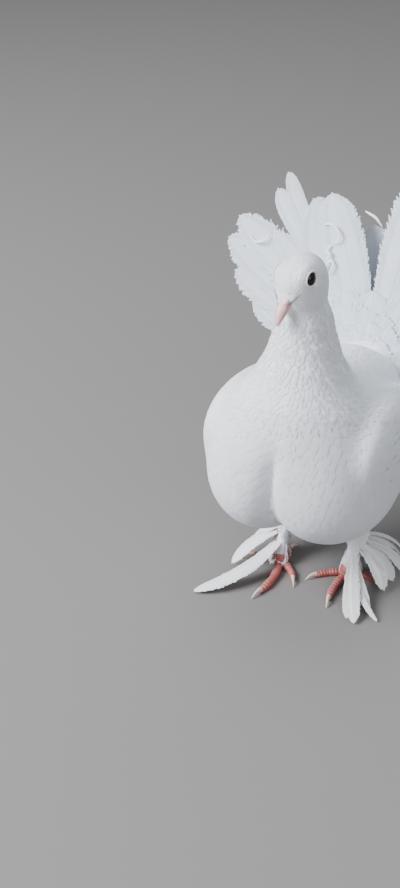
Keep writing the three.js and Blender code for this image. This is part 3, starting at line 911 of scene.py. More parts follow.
    def _shaft(self, shape: VaneShape, place, patch: Array, luck: float) -> None:
        """Adds the feather's tapering shaft.

        Args:
            shape: The feather's outline.
            place: Turns millimetres across and along into points and facings.
            patch: The root's place on the baked map.
            luck: The feather's random value.
        """
        sides, rings = 6, 14
        s = np.linspace(0, 0.97, rings)
        across, along = self.at(s * 0, s, shape)
        at, facing = place(across, along)
        beside = unit(place(across + 1.0, along)[0] - at)
        radius = shape.shaft * (1 - 0.82 * s) * 0.55
        turn = full_turn(sides)[None, :, None]
        round_out = facing[:, None] * np.sin(turn) * 0.8 + beside[:, None] * np.cos(turn)
        ring = at[:, None] + round_out * radius[:, None, None]
        vane = np.tile([0.0, 0.5, luck], (sides * rings, 1))
        self.mesh.add(
            ring, turned(tube_faces(rings, sides)), np.tile(patch, (sides * rings, 1)), vane,
            unit(round_out + facing[:, None]),
        )


def tube(middle: Array, across: Array, up: Array, wide: Array, tall: Array, turn: Array) -> Array:
    """Points of the rings round a line.

    Args:
        middle: The line's points.
        across: Each ring's direction at the turn's start.
        up: Each ring's direction a quarter turn on.
        wide: Half-widths along the first direction.
        tall: Half-widths along the second.
        turn: The angles round a ring.

    Returns:
        The points, ring by ring.
    """
    return (
        middle[:, None] + across[:, None] * (wide * np.cos(turn))[..., None]
        + up[:, None] * (tall * np.sin(turn))[..., None]
    )


def turned(faces: Array) -> Array:
    """Turns faces over.

    Args:
        faces: Four corners each, triangles with their last corner twice.

    Returns:
        The same faces seen from the other side.
    """
    return np.where(faces[:, 2:3] == faces[:, 3:4], faces[:, [1, 0, 2, 3]], faces[:, ::-1])


def tube_faces(rings: int, sides: int) -> Array:
    """The faces of a closed stack of rings with a fan on each end.

    Args:
        rings: How many rings.
        sides: Points in a ring.

    Returns:
        The quads' corners, triangles with their last corner twice.
    """
    faces = []
    for i in range(rings - 1):
        for k in range(sides):
            a, b = i * sides + k, i * sides + (k + 1) % sides
            faces.append((a, b, b + sides, a + sides))
    last = (rings - 1) * sides
    for k in range(1, sides - 1):
        faces.append((0, k + 1, k, k))
        faces.append((last, last + k, last + k + 1, last + k + 1))
    return np.array(faces)


FAN_AT = np.array([0.0, 87.0, 107.0])
FAN_LEAN = 14.0
FAN_DISH = 9.0
FAN_STEP = 1.1
FAN_WIDTH = 31.0
FAN_REACH = 134.0
FAN_INSET = 9.0
CLOSE_ANGLE = 38.0


@dataclass(frozen=True)
class FanFeather:
    """One tail feather: degrees from upright, reach of its tip, width, and the make of its edge."""

    angle: float
    reach: float
    width: float = FAN_WIDTH
    slant: float = 0.0
    fray: float = 0.05
    blunt: float = 0.42
    bend: float = 0.0
    behind: float = 0.0


RECTRICES = (
    FanFeather(11.5, 133, fray=0.07), FanFeather(19.5, 135), FanFeather(27, 137),
    FanFeather(34.5, 137), FanFeather(42, 137), FanFeather(49.5, 136), FanFeather(57, 132),
    FanFeather(64, 124), FanFeather(71, 113), FanFeather(78.5, 99), FanFeather(87, 82),
    FanFeather(-17.5, 120, 29, 0.0, 0.05, 0.3, behind=2.6),
    FanFeather(-30, 119, 29, -0.36, 0.03, 0.15, 11.0),
    FanFeather(-34.8, 135.5, 16, 0.0, 0.03, 0.12, 1.5),
    FanFeather(-30.8, 141.5, 10.5, -0.1, 0.03, 0.05, 4.8),
    FanFeather(-43.5, 114, 20, 0.1, 0.14, 0.6), FanFeather(-49.5, 138, 29, 0.0, 0.12),
    FanFeather(-57, 135, 29, -0.1, 0.12), FanFeather(-65, 119, 28, 0, 0.09),
    FanFeather(-73.5, 99, 27, 0, 0.07), FanFeather(-83, 76, 25, 0, 0.1),
)
FRONT_COVERTS = (
    (13, 74, 54, 23, FAN_STEP), (14, 80, 42, 20, 0.2),
    (13, 76, 31, 17, -0.8), (9, 66, 22, 14, -1.8),
)
BACK_COVERTS = ((13, 78, 64, 23, 3), (13, 82, 48, 20, 4), (11, 74, 34, 18, 5))
SECOND_TIER = (
    FanFeather(-6, 95, 27, 0, 0.04, 0.15), FanFeather(-39, 100), FanFeather(-57, 94),
    FanFeather(14, 98), FanFeather(30, 100), FanFeather(46, 100), FanFeather(62, 92),
)


class Tail:
    """The raised fan: its pivot's directions and its feathers, one behind the next."""

    def __init__(self, rng: np.random.Generator) -> None:
        self.rng = rng
        lean = math.radians(FAN_LEAN)
        self.up = np.array([0.0, math.sin(lean), math.cos(lean)])
        self.front = np.cross(X_AXIS, self.up)

    def spot(self, angle: Array, radius: Array, forward: Array) -> Array:
        """Points on the dished fan.

        Args:
            angle: Radians from upright.
            radius: Millimetres from the pivot.
            forward: Millimetres in front of the dish.

        Returns:
            The points in the bird's frame.
        """
        dish = FAN_DISH * (radius / FAN_REACH) ** 2
        level = FAN_AT + (radius * np.sin(angle))[..., None] * X_AXIS
        raised = level + (radius * np.cos(angle))[..., None] * self.up
        return raised + (dish + forward)[..., None] * self.front

    def placer(self, feather: FanFeather, depth: float):
        """The mapping of one feather onto the dished fan.

        Args:
            feather: The feather.
            depth: How far it lies behind the front one.

        Returns:
            A function from millimetres across and along to points and facings.
        """
        turn = math.radians(feather.angle)
        wave = self.rng.uniform(-1, 1, 3)

        def place(x: Array, y: Array) -> tuple[Array, Array]:
            radius = np.hypot(x, y + FAN_INSET)
            angle = turn + np.arctan2(x, y + FAN_INSET)
            share = np.clip(y / 120, 0, 1)
            ripple = 0.5 * wave[0] * (x / 15) * share + 0.8 * wave[1] * np.clip(y / 130, 0, 1) ** 2
            cup = -0.9 * (x / 15.0) ** 2
            at = self.spot(angle, radius, ripple + cup - depth)
            tilt = (1.8 * x / 225.0 - 0.033 * wave[0] * share)[..., None] * X_AXIS
            return at, unit(self.front + tilt)

        return place

    def build(self, finish: bpy.types.Material) -> None:
        """Makes the fan's pieces.

        Args:
            finish: The long feathers' material.
        """
        fan = LongFeathers("tail_feathers", self.rng)
        ordered = sorted(RECTRICES, key=lambda feather: abs(feather.angle))
        depth = 2 * FAN_STEP
        for feather in ordered:
            self._one(fan, feather, depth + feather.behind)
            depth += FAN_STEP if abs(feather.angle) < CLOSE_ANGLE else FAN_STEP / 2
        for i, feather in enumerate(SECOND_TIER):
            self._one(fan, feather, depth + FAN_STEP * (1 + i % 2))
        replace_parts(fan.mesh.build(finish, "plumage", True), "tail")
        back = tuple((*row, depth + steps * FAN_STEP) for *row, steps in BACK_COVERTS)
        for name, rows in (("tail_coverts_front", FRONT_COVERTS), ("tail_coverts_back", back)):
            coverts = LongFeathers(name, self.rng)
            for count, spread, reach, width, at in rows:
                for i in range(count):
                    angle = spread * (2 * i / (count - 1) - 1) + self.rng.normal(0, 1.6)
                    reach_here = reach * self.rng.uniform(0.9, 1.15)
                    shift = FAN_STEP * 0.5 * (i % 2)
                    feather = FanFeather(angle, reach_here, width, 0, 0.1, 0.5)
                    self._one(coverts, feather, at + shift)
            coverts.mesh.build(finish, "plumage", True)

    def _one(self, to: LongFeathers, feather: FanFeather, depth: float) -> None:
        """Adds one feather of the fan.

        Args:
            to: The piece that gathers it.
            feather: The feather.
            depth: How far it lies behind the front one.
        """
        shape = VaneShape(
            feather.reach - 10.5, feather.width, feather.slant, feather.fray, feather.blunt,
            0.22, 0.85, feather.bend, 0.02,
        )
        root = FAN_AT + self.up * 12
        to.add(shape, self.placer(feather, depth), root + np.array([feather.angle * 0.3, 0, 0]))


def straight(
    root: Array, tip: Array, face: Array, bow: float = 0.0, cup: float = 0.0, side_bow: float = 0.0
):
    """The mapping of a feather that runs from root to tip.

    Args:
        root: Where it starts.
        tip: Where it ends.
        face: The way its upper side faces.
        bow: How far its middle stands out toward that side.
        cup: How far its edges fall away.
        side_bow: How far its middle bends sideways.

    Returns:
        The mapping, and the feather's length.
    """
    root, tip = np.array(root, float), np.array(tip, float)
    length = float(np.linalg.norm(tip - root))
    along = (tip - root) / length
    across = unit(np.cross(along, unit(np.array(face, float))))
    out = np.cross(across, along)

    def place(x: Array, y: Array) -> tuple[Array, Array]:
        s = y / length
        arch = bow * 4 * s * (1 - s)
        at = root + along * y[..., None] + across * (x + side_bow * 4 * s * (1 - s))[..., None]
        at = at + out * (arch - cup * (x / 8.0) ** 2)[..., None]
        lean = (-bow * 4 * (1 - 2 * s) / length)[..., None]
        facing = unit(out + along * lean + across * (cup * x / 32)[..., None])
        return at, facing

    return place, length


@dataclass(frozen=True)
class FlightRow:
    """A row of wing feathers: how many, width, inset, and the first and last one's ends."""

    count: int
    width: float
    inset: float
    first_root: tuple[float, float, float]
    first_tip: tuple[float, float, float]
    last_root: tuple[float, float, float]
    last_tip: tuple[float, float, float]


PRIMARIES = FlightRow(8, 15, 0.0, (43, 44, 77), (33, 160, 56), (45, 40, 86), (35, 112, 66))
SECONDARIES = FlightRow(8, 18, 7.2, (45, 38, 84), (35, 106, 66), (44, 10, 106), (35, 80, 83))
GREATER_COVERTS = FlightRow(9, 14, 14.5, (43, 28, 80), (37, 74, 70), (43, -8, 108), (39, 44, 92))
WING_STEP = 0.9


class Wings:
    """The long feathers of both folded wings."""

    def __init__(self, rng: np.random.Generator) -> None:
        self.rng = rng

    def build(self, finish: bpy.types.Material) -> None:
        """Makes both wings' long feathers.

        Args:
            finish: The long feathers' material.
        """
        for side in Side:
            wing = LongFeathers(f"wing_feathers_{side.word}", self.rng)
            for row in (PRIMARIES, SECONDARIES, GREATER_COVERTS):
                for i in range(row.count):
                    share = i / (row.count - 1)
                    inset = row.inset + WING_STEP * i * (0.35 if row is GREATER_COVERTS else 1.0)
                    ends = []
                    lines = ((row.first_root, row.last_root), (row.first_tip, row.last_tip))
                    for first, last in lines:
                        at = np.array(first, float) * (1 - share) + np.array(last, float) * share
                        ends.append((at + [inset, 0, 0]) * [side.value, 1, 1])
                    face = np.array([side.value, 0.05, 0.18])
                    place, length = straight(ends[0], ends[1], face, 1.5, 0.8)
                    wing.add(VaneShape(length, row.width, 0, 0.04, 0.5, 0.5, 0.6), place, ends[0])
            wing.mesh.build(finish, "plumage", True)


MUFFS = {
    Side.LEFT: (
        ((24, 2, 11), (39, -43, 1.8), 6, 2, 0, 0.1),
        ((25, 3, 13), (45, -46, 2.2), 9.5, 3, 1, 0.1),
        ((26, 3, 12), (49, -30, 2.4), 5.5, 3, 2, 0.08),
        ((27, 2, 12), (57, -38, 1.6), 3, 2, 5, 0.08),
        ((25, 8.3, 22), (51, -9, 3.0), 10, 4, -2, 0.1),
        ((25, 8.6, 24), (53, 2, 3.4), 12, 5, 0, 0.1),
        ((25, 9.5, 26), (57, 11, 4.4), 8, 5, -2, 0.1),
        ((25, 9.8, 26.5), (55, 20, 5.0), 3.5, 5, 3, 0.08),
        ((25, 10, 27.5), (48, 28, 5.6), 7, 5, 3, 0.1),
        ((25, 10, 27.5), (53, 27, 7.6), 3, 6, -1, 0.08),
    ),
    Side.RIGHT: (
        ((-25, 3, 18), (-62, -58, 1.8), 11, 0, -8, 0.08),
        ((-25, 5, 22), (-52, -23, 3.4), 11, 4, 1, 0.06),
        ((-25, 7, 25), (-48, -4, 5.6), 10, 4, 0, 0.08),
        ((-25, 9, 27), (-38, 24, 7.4), 9, 4, -2, 0.1),
    ),
}


SHORT_COUNT = 46
SHORT_WIDTH = 5.2
FLOOR_GAP = 3.0


class Muffs:
    """The long feathers on the feet and the short ones that cover the shanks."""

    def __init__(self, rng: np.random.Generator) -> None:
        self.rng = rng

    def build(self, finish: bpy.types.Material) -> None:
        """Makes both feet's feathers.

        Args:
            finish: The long feathers' material.
        """
        for side in Side:
            muff = LongFeathers(f"foot_feathers_{side.word}", self.rng)
            for root, tip, width, bow, side_bow, fray in MUFFS[side]:
                place, length = straight(root, tip, UP, bow, 0.4, side_bow)
                shape = VaneShape(length, width, 0, fray, 0.6, 0.45, 0.55)
                muff.add(shape, place, np.array(root, float))
            self._short(muff, side)
            muff.mesh.build(finish, "plumage", True)

    def _short(self, muff: LongFeathers, side: Side) -> None:
        """Adds short feathers round the shank and over the toes' roots.

        Args:
            muff: The piece that gathers them.
            side: Which foot.
        """
        hock, foot = (np.array(LEG_LINES[side][i][0]) for i in (2, 4))
        for _ in range(SHORT_COUNT):
            share = self.rng.uniform(0.0, 0.98)
            turn = self.rng.uniform(-2.4, 2.4) + (0 if side is Side.LEFT else math.pi)
            out = np.array([math.cos(turn), math.sin(turn), 0.0])
            root = hock + (foot - hock) * share + out * 2.2
            size = self.rng.uniform(9, 14)
            tip = root + out * size * 0.42 + np.array([0, -2.0, -size * 0.9])
            tip[2] = max(tip[2], FLOOR_GAP)
            place, length = straight(root, tip, out + 0.5 * UP, 1.0, 0.6)
            muff.add(VaneShape(length, SHORT_WIDTH, 0, 0.14, 0.6, 0.5, 0.3), place, root)


class Skin:
    """The one smooth skin under the whole plumage."""

    @staticmethod
    def _balls() -> list[tuple[Array, Array, float, float]]:
        """The rough ellipsoids that the skin starts from.

        Returns:
            Each one's centre, half-sizes, lean about X and turn about Z.
        """
        balls = []
        for side in Side:
            sign = np.array([side.value, 1, 1])
            for mass in (BREAST_LOBE, WING):
                turn = mass.turn * side.value
                balls.append((np.array(mass.at) * sign, np.array(mass.size), mass.lean, turn))
            for at, radius in LEG_LINES[side]:
                balls.append((np.array(at), np.full(3, radius), 0.0, 0.0))
            knots = [np.array(at) for at, _ in LEG_LINES[side]]
            for low, high in zip(knots, knots[1:]):
                for share in (0.25, 0.5, 0.75):
                    balls.append((low + (high - low) * share, np.full(3, 4.6), 0.0, 0.0))
        for mass in (CROP, TRUNK, BELLY, RUMP, TAIL_BASE):
            balls.append((np.array(mass.at), np.array(mass.size), mass.lean, 0.0))
        for at, radius in NECK_LINE:
            balls.append((np.array(at), np.full(3, radius), 0.0, 0.0))
        for mass in HEAD_MASSES:
            balls.append((HEAD.place(*mass.at), np.full(3, min(mass.size)), 0.0, 0.0))
        return balls

    def build(self, finish: bpy.types.Material) -> bpy.types.Object:
        """Makes the skin from the masses, remeshed and laid on the form.

        Args:
            finish: The skin's material.

        Returns:
            The skin.
        """
        bpy.ops.object.select_all(action="DESELECT")
        made = []
        for at, size, lean, turn in self._balls():
            bpy.ops.mesh.primitive_ico_sphere_add(subdivisions=4, radius=1)
            ball = bpy.context.object
            turned_z = Matrix.Rotation(math.radians(turn), 4, "Z")
            leaned_x = Matrix.Rotation(math.radians(lean), 4, "X")
            place = Matrix.Translation(Vector(at + FRONT_SHIFT)) @ (
                turned_z @ leaned_x @ Matrix.Diagonal((*size, 1)))
            ball.data.transform(Matrix.Scale(MM, 4) @ place)
            made.append(ball)
        bpy.ops.object.select_all(action="DESELECT")
        for ball in made:
            ball.select_set(True)
        bpy.context.view_layer.objects.active = made[0]
        bpy.ops.object.join()
        skin = bpy.context.object
        skin.name = skin.data.name = "skin"
        remesh = skin.modifiers.new("even", "REMESH")
        remesh.mode = "VOXEL"
        remesh.voxel_size = VOXEL * MM
        bpy.ops.object.modifier_apply(modifier=remesh.name)
        points = np.zeros(len(skin.data.vertices) * 3)
        skin.data.vertices.foreach_get("co", points)
        points = points.reshape(-1, 3) / MM - FRONT_SHIFT
        settled, _ = FORM.settle(points, -SKIN_DEPTH, 5)
        skin.data.vertices.foreach_set("co", ((settled + FRONT_SHIFT) * MM).ravel())
        skin.data.update()
        skin.data.shade_smooth()
        dress(skin, finish)
        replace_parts(skin, "torso", "neck", "head", "wing_left", "wing_right", "leg_left", "leg_right")
        return skin


COAT = {
    "breast": CoatPatch(
        "plumage_breast", 3.9, 11.5, 9.0, 0.05, 0.1, loose=0.05, crown=0.035, root=0.3),
    "belly": CoatPatch(
        "plumage_belly", 4.4, 13, 9.5, 0.14, 0.1, loose=0.12, crown=0.07, root=0.35),
    "back": CoatPatch("plumage_back", 4.8, 14, 10.5, 0.12, 0.1, crown=0.08, root=0.35),
    "neck": CoatPatch("plumage_neck", 1.9, 5.6, 3.1, 0.22, 0.09, 2, 4, 0.26, 0.2),
    "head": CoatPatch("plumage_head", 1.3, 3.3, 2.1, 0.03, 0.07, 2, 3, 0.1, 0.04, 0.15),
    "wings": CoatPatch("plumage_wings", 4.9, 18, 13, 0.12, 0.1, 4, 6, 0.05, 0.07, 0.22),
    "legs": CoatPatch("plumage_legs", 2.6, 7, 4.2, 0.25, 0.1, 2, 4, 0.2, 0.12),
}
BORDER_SCATTER = 3.2
NECK_FADE = 6.5
HEAD_FROM_Z = 196
LEGS_BELOW_Z = 47
BACK_FROM_Z = 92
EYE_CLEARANCE = 4.9


class Coat:
    """All the small plumage, by region."""

    def __init__(self, skin: bpy.types.Object, rng: np.random.Generator) -> None:
        self.plumage = SmallPlumage(skin, rng)

    def build(self, small: bpy.types.Material) -> None:
        """Lays every patch.

        Args:
            small: The small feathers' material.
        """
        corners = self.plumage.points[self.plumage.corners]
        middle = corners.mean(1)
        scatter = self.plumage.rng.normal(0, BORDER_SCATTER, (len(corners), 1))
        spread = middle + scatter * [0.0, 0.3, 1.0]
        x, y, z = spread.T
        local = HEAD.local(middle)
        head = (local[:, 2] > -14) & (z > HEAD_FROM_Z)
        fade = self.plumage.rng.normal(0, NECK_FADE, len(corners))
        neck = ~head & (z + fade > 152 - 0.12 * (y + 20))
        wing = (LIE.on_wing(spread) > 0.5) & (np.abs(x) > 30)
        legs = middle[:, 2] < LEGS_BELOW_Z
        trunk = ~(head | neck | wing | legs)
        back = trunk & (y > 12) & (z > BACK_FROM_Z)
        belly = trunk & ~back & (y > -10) & (z < BACK_FROM_Z)
        masks = {
            "breast": trunk & ~back & ~belly, "belly": belly, "back": back, "neck": neck,
            "head": head & self._clear_of_face(middle, local), "wings": wing, "legs": legs,
        }
        for region, patch in COAT.items():
            self.plumage.lay(patch, masks[region], small)

    @staticmethod
    def _clear_of_face(p: Array, local: Array) -> Array:
        """Which places of the head may carry feathers.

        Args:
            p: Places in the bird's frame.
            local: The same along the head's axes.

        Returns:
            False over the eyes and the bill's root.
        """
        clear = np.ones(len(p), bool)
        for side in Side:
            at, _ = EYE_SEATS[side]
            ahead = p + 2.6 * unit(LIE.direction(p))
            for place in (p, ahead):
                clear &= np.linalg.norm(place - at, axis=-1) > EYE_CLEARANCE
        clear &= ~((local[:, 0] > 13.5) & (np.abs(local[:, 1]) < 5.0) & (local[:, 2] < 3))
        return clear


@dataclass(frozen=True)
class JawShape:
    """One jaw of the bill: height, length, how far its tip drops and how fast it narrows."""

    name: str
    height: float
    length: float
    drop: float
    taper: float


BILL_FORWARD, BILL_UP, BILL_DROP, BILL_HALF = 12.4, -1.4, 21.0, 5.2
MOUTH_GAP = 0.12
UPPER = JawShape("bill_upper_horn", 4.6, 19.0, 1.4, 3.0)
LOWER = JawShape("bill_lower_horn", -2.9, 17.8, 1.1, 2.2)


class Bill:
    """The bill, its cere, nostrils and the line of the mouth."""

    def __init__(self) -> None:
        drop = math.radians(BILL_DROP)
        self.along = HEAD.forward * math.cos(drop) - HEAD.up * math.sin(drop)
        self.up = np.cross(self.along, HEAD.left)

    def place(self, along: Array, left: Array, up: Array) -> Array:
        """Points in the bill's own frame.

        Args:
            along: Millimetres along the bill.
            left: Millimetres to the bird's left.
            up: Millimetres up from the line of the mouth.

        Returns:
            The points in the bird's frame.
        """
        base = HEAD.place(BILL_FORWARD, 0.0, BILL_UP)
        along, left, up = (np.asarray(v, float)[..., None] for v in (along, left, up))
        return base + self.along * along + HEAD.left * left + self.up * up

    def jaw(self, shape: JawShape, finish: bpy.types.Material) -> bpy.types.Object:
        """One jaw, round above and flat on the line of the mouth.

        Args:
            shape: The jaw's sizes.
            finish: Its material.

        Returns:
            The jaw.
        """
        rings, sides = 40, 28
        tip = 0.9 + 0.1 * np.linspace(0.1, 1, 12) ** 0.6
        s = np.concatenate([np.linspace(-0.34, 0.9, rings - 12), tip])
        front = np.clip(s, 0, 1)
        wide = BILL_HALF * np.sqrt(np.clip(1 - front**1.7, 0.002, 1))
        wide = wide * (1 - 0.16 * np.sin(np.pi * front))
        tall = shape.height * (1 - 0.35 * front)
        tall = tall * np.sqrt(np.clip(1 - front**shape.taper, 0.002, 1))
        if shape.height > 0:
            tall = tall * (1 - 0.13 * np.exp(-(((front - 0.42) / 0.12) ** 2)))
        turn = full_turn(sides)
        arch = np.where(np.sin(turn) > 0, np.abs(np.sin(turn)) ** 0.9, 0.1 * np.sin(turn))
        droop = -shape.drop * front**4
        points = self.place(
            np.repeat((s * shape.length)[:, None], sides, 1),
            wide[:, None] * np.cos(turn),
            tall[:, None] * arch + droop[:, None] + math.copysign(MOUTH_GAP, shape.height),
        )
        mesh = Mesh(shape.name)
        mesh.add(points, tube_faces(rings, sides))
        return mesh.build(finish, "horn")

    def build(
        self, horn: bpy.types.Material, cere: bpy.types.Material, dark: bpy.types.Material
    ) -> None:
        """Makes every piece of the bill.

        Args:
            horn: The bill's material.
            cere: The cere's material.
            dark: The nostrils' and mouth line's material.
        """
        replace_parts(self.jaw(UPPER, horn), "bill_upper")
        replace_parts(self.jaw(LOWER, horn), "bill_lower")
        bulbs = Mesh("cere_skin")
        holes = Mesh("mouth_and_nostrils")
        for side in Side:
            centre = self.place(3.2, 1.9 * side.value, 2.7)
            self._ball(bulbs, centre, (4.2, 2.3, 1.75), -14.0 * side.value)
            hole = self.place(6.5, 3.35 * side.value, 1.9)
            self._ball(holes, hole, (1.8, 0.45, 0.36), -12.0 * side.value)
            self._mouth_line(holes, side)
        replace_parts(bulbs.build(cere, "cere"), "cere")
        holes.build(dark, "horn")

    def _ball(
        self, mesh: Mesh, centre: Array, size: tuple[float, float, float], turn: float
    ) -> None:
        """Adds an ellipsoid that lies along the bill.

        Args:
            mesh: The piece that gathers it.
            centre: Its centre.
            size: Half-sizes along, across and up.
            turn: Degrees that it is turned about the bill's up.
        """
        rings, sides = 17, 20
        t = np.linspace(0.02, math.pi - 0.02, rings)
        turn_round = full_turn(sides)
        a = np.cos(t)[:, None] * np.ones(sides)
        b = np.sin(t)[:, None] * np.cos(turn_round)
        c = np.sin(t)[:, None] * np.sin(turn_round)
        ct, st = math.cos(math.radians(turn)), math.sin(math.radians(turn))
        forward, left = self.along * ct + HEAD.left * st, HEAD.left * ct - self.along * st
        points = (
            centre + forward * (a * size[0])[..., None] + left * (b * size[1])[..., None]
            + self.up * (c * size[2])[..., None]
        )
        mesh.add(points, turned(tube_faces(rings, sides)))

    def _mouth_line(self, mesh: Mesh, side: Side) -> None:
        """Adds the dark line that runs back from the bill over one cheek.

        Args:
            mesh: The piece that gathers it.
            side: Which cheek.
        """
        count, sides = 14, 8
        share = np.linspace(0, 1, count)
        forward = 11.4 + 7.7 * share
        rise = 1.6 - 0.9 * share - 3.2 * share**2
        lateral = side.value * (8.6 - 4.7 * share)
        line = HEAD.place(forward[:, None], lateral[:, None], rise[:, None])
        line, out = FORM.settle(line, 0.12)
        along = unit(np.gradient(line, axis=0))
        across = unit(np.cross(out, along))
        radius = (0.24 + 0.16 * share) * np.sin(np.clip(share * 3 + 0.3, 0, math.pi / 2))
        radius = radius[:, None]
        points = tube(line, across, out, radius, radius * 0.7, full_turn(sides))
        mesh.add(points, tube_faces(count, sides))


class Eyes:
    """Both eyes with their lids."""

    BALL = 4.9
    SUNK = 2.9
    FLATNESS = 0.74

    def build(self, eye: bpy.types.Material, lid: bpy.types.Material) -> None:
        """Makes both eyes.

        Args:
            eye: The eyeballs' material.
            lid: The lids' material.
        """
        for side in Side:
            at, out = EYE_SEATS[side]
            centre = Vector((at - out * self.SUNK + FRONT_SHIFT) * MM)
            bpy.ops.object.select_all(action="DESELECT")
            bpy.ops.mesh.primitive_uv_sphere_add(segments=48, ring_count=32, radius=self.BALL * MM)
            ball = bpy.context.object
            ball.name = ball.data.name = f"eyeball_{side.word}"
            facing = Vector(out).to_track_quat("Z", "Y").to_matrix().to_4x4()
            flat = Matrix.Diagonal((1.0, 1.0, self.FLATNESS, 1.0))
            ball.data.transform(Matrix.Translation(centre) @ facing @ flat)
            ball.location = (0, 0, 0)
            ball.data.shade_smooth()
            dress(ball, eye)
            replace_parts(ball, f"eye_{side.word}")
            self._lids(side, at, out, lid)

    @staticmethod
    def _lids(side: Side, at: Array, out: Array, finish: bpy.types.Material) -> None:
        """Makes the folded ring of skin round one eye.

        Args:
            side: Which eye.
            at: The eye's place on the cheek.
            out: The way the cheek faces.
            finish: The lids' material.
        """
        up = unit(HEAD.up - out * (HEAD.up @ out))
        across = np.cross(up, out)
        count, sides = 56, 14
        turn = full_turn(count)
        crease = 1 + 0.06 * np.sin(turn * 19)
        thick = (0.4 + 0.1 * np.sin(turn)) * crease
        ring = EYE_OPENING + thick
        radial = np.cos(turn)[:, None] * across + np.sin(turn)[:, None] * up
        centre = at - out * 0.7 + radial * ring[:, None]
        settled, _ = FORM.settle(centre, 0.0)
        centre = centre * 0.4 + settled * 0.6
        thick = thick[:, None]
        points = tube(centre, radial, out[None], thick, thick * 0.8, full_turn(sides))
        faces = []
        for i in range(count):
            for k in range(sides):
                a, b = i * sides + k, i * sides + (k + 1) % sides
                c, d = (i + 1) % count * sides + (k + 1) % sides, (i + 1) % count * sides + k
                faces.append((a, b, c, d))
        mesh = Mesh(f"lids_{side.word}")
        mesh.add(points, np.array(faces))
        mesh.build(finish, "cere")


@dataclass(frozen=True)
class Toe:
    """One toe: its claw's tip seen from the foot, radius, claw length and sideways bow."""

    tip: tuple[float, float]
    radius: float
    claw: float
    bow: float


TOES = {
    Side.LEFT: {
        "inner": Toe((-24, -17), 2.7, 7.5, -3), "middle": Toe((0, -38), 3.0, 8.5, -3),
        "outer": Toe((26, -6), 2.7, 7.0, 4), "hind": Toe((-2, 21), 2.6, 6.5, 2),
    },
    Side.RIGHT: {
        "inner": Toe((19, -21), 2.7, 7.5, 3), "middle": Toe((-1, -43), 3.0, 8.5, 4),
        "outer": Toe((-26, -6), 2.7, 7.0, -4), "hind": Toe((3, 22), 2.6, 6.5, 2),
    },
}


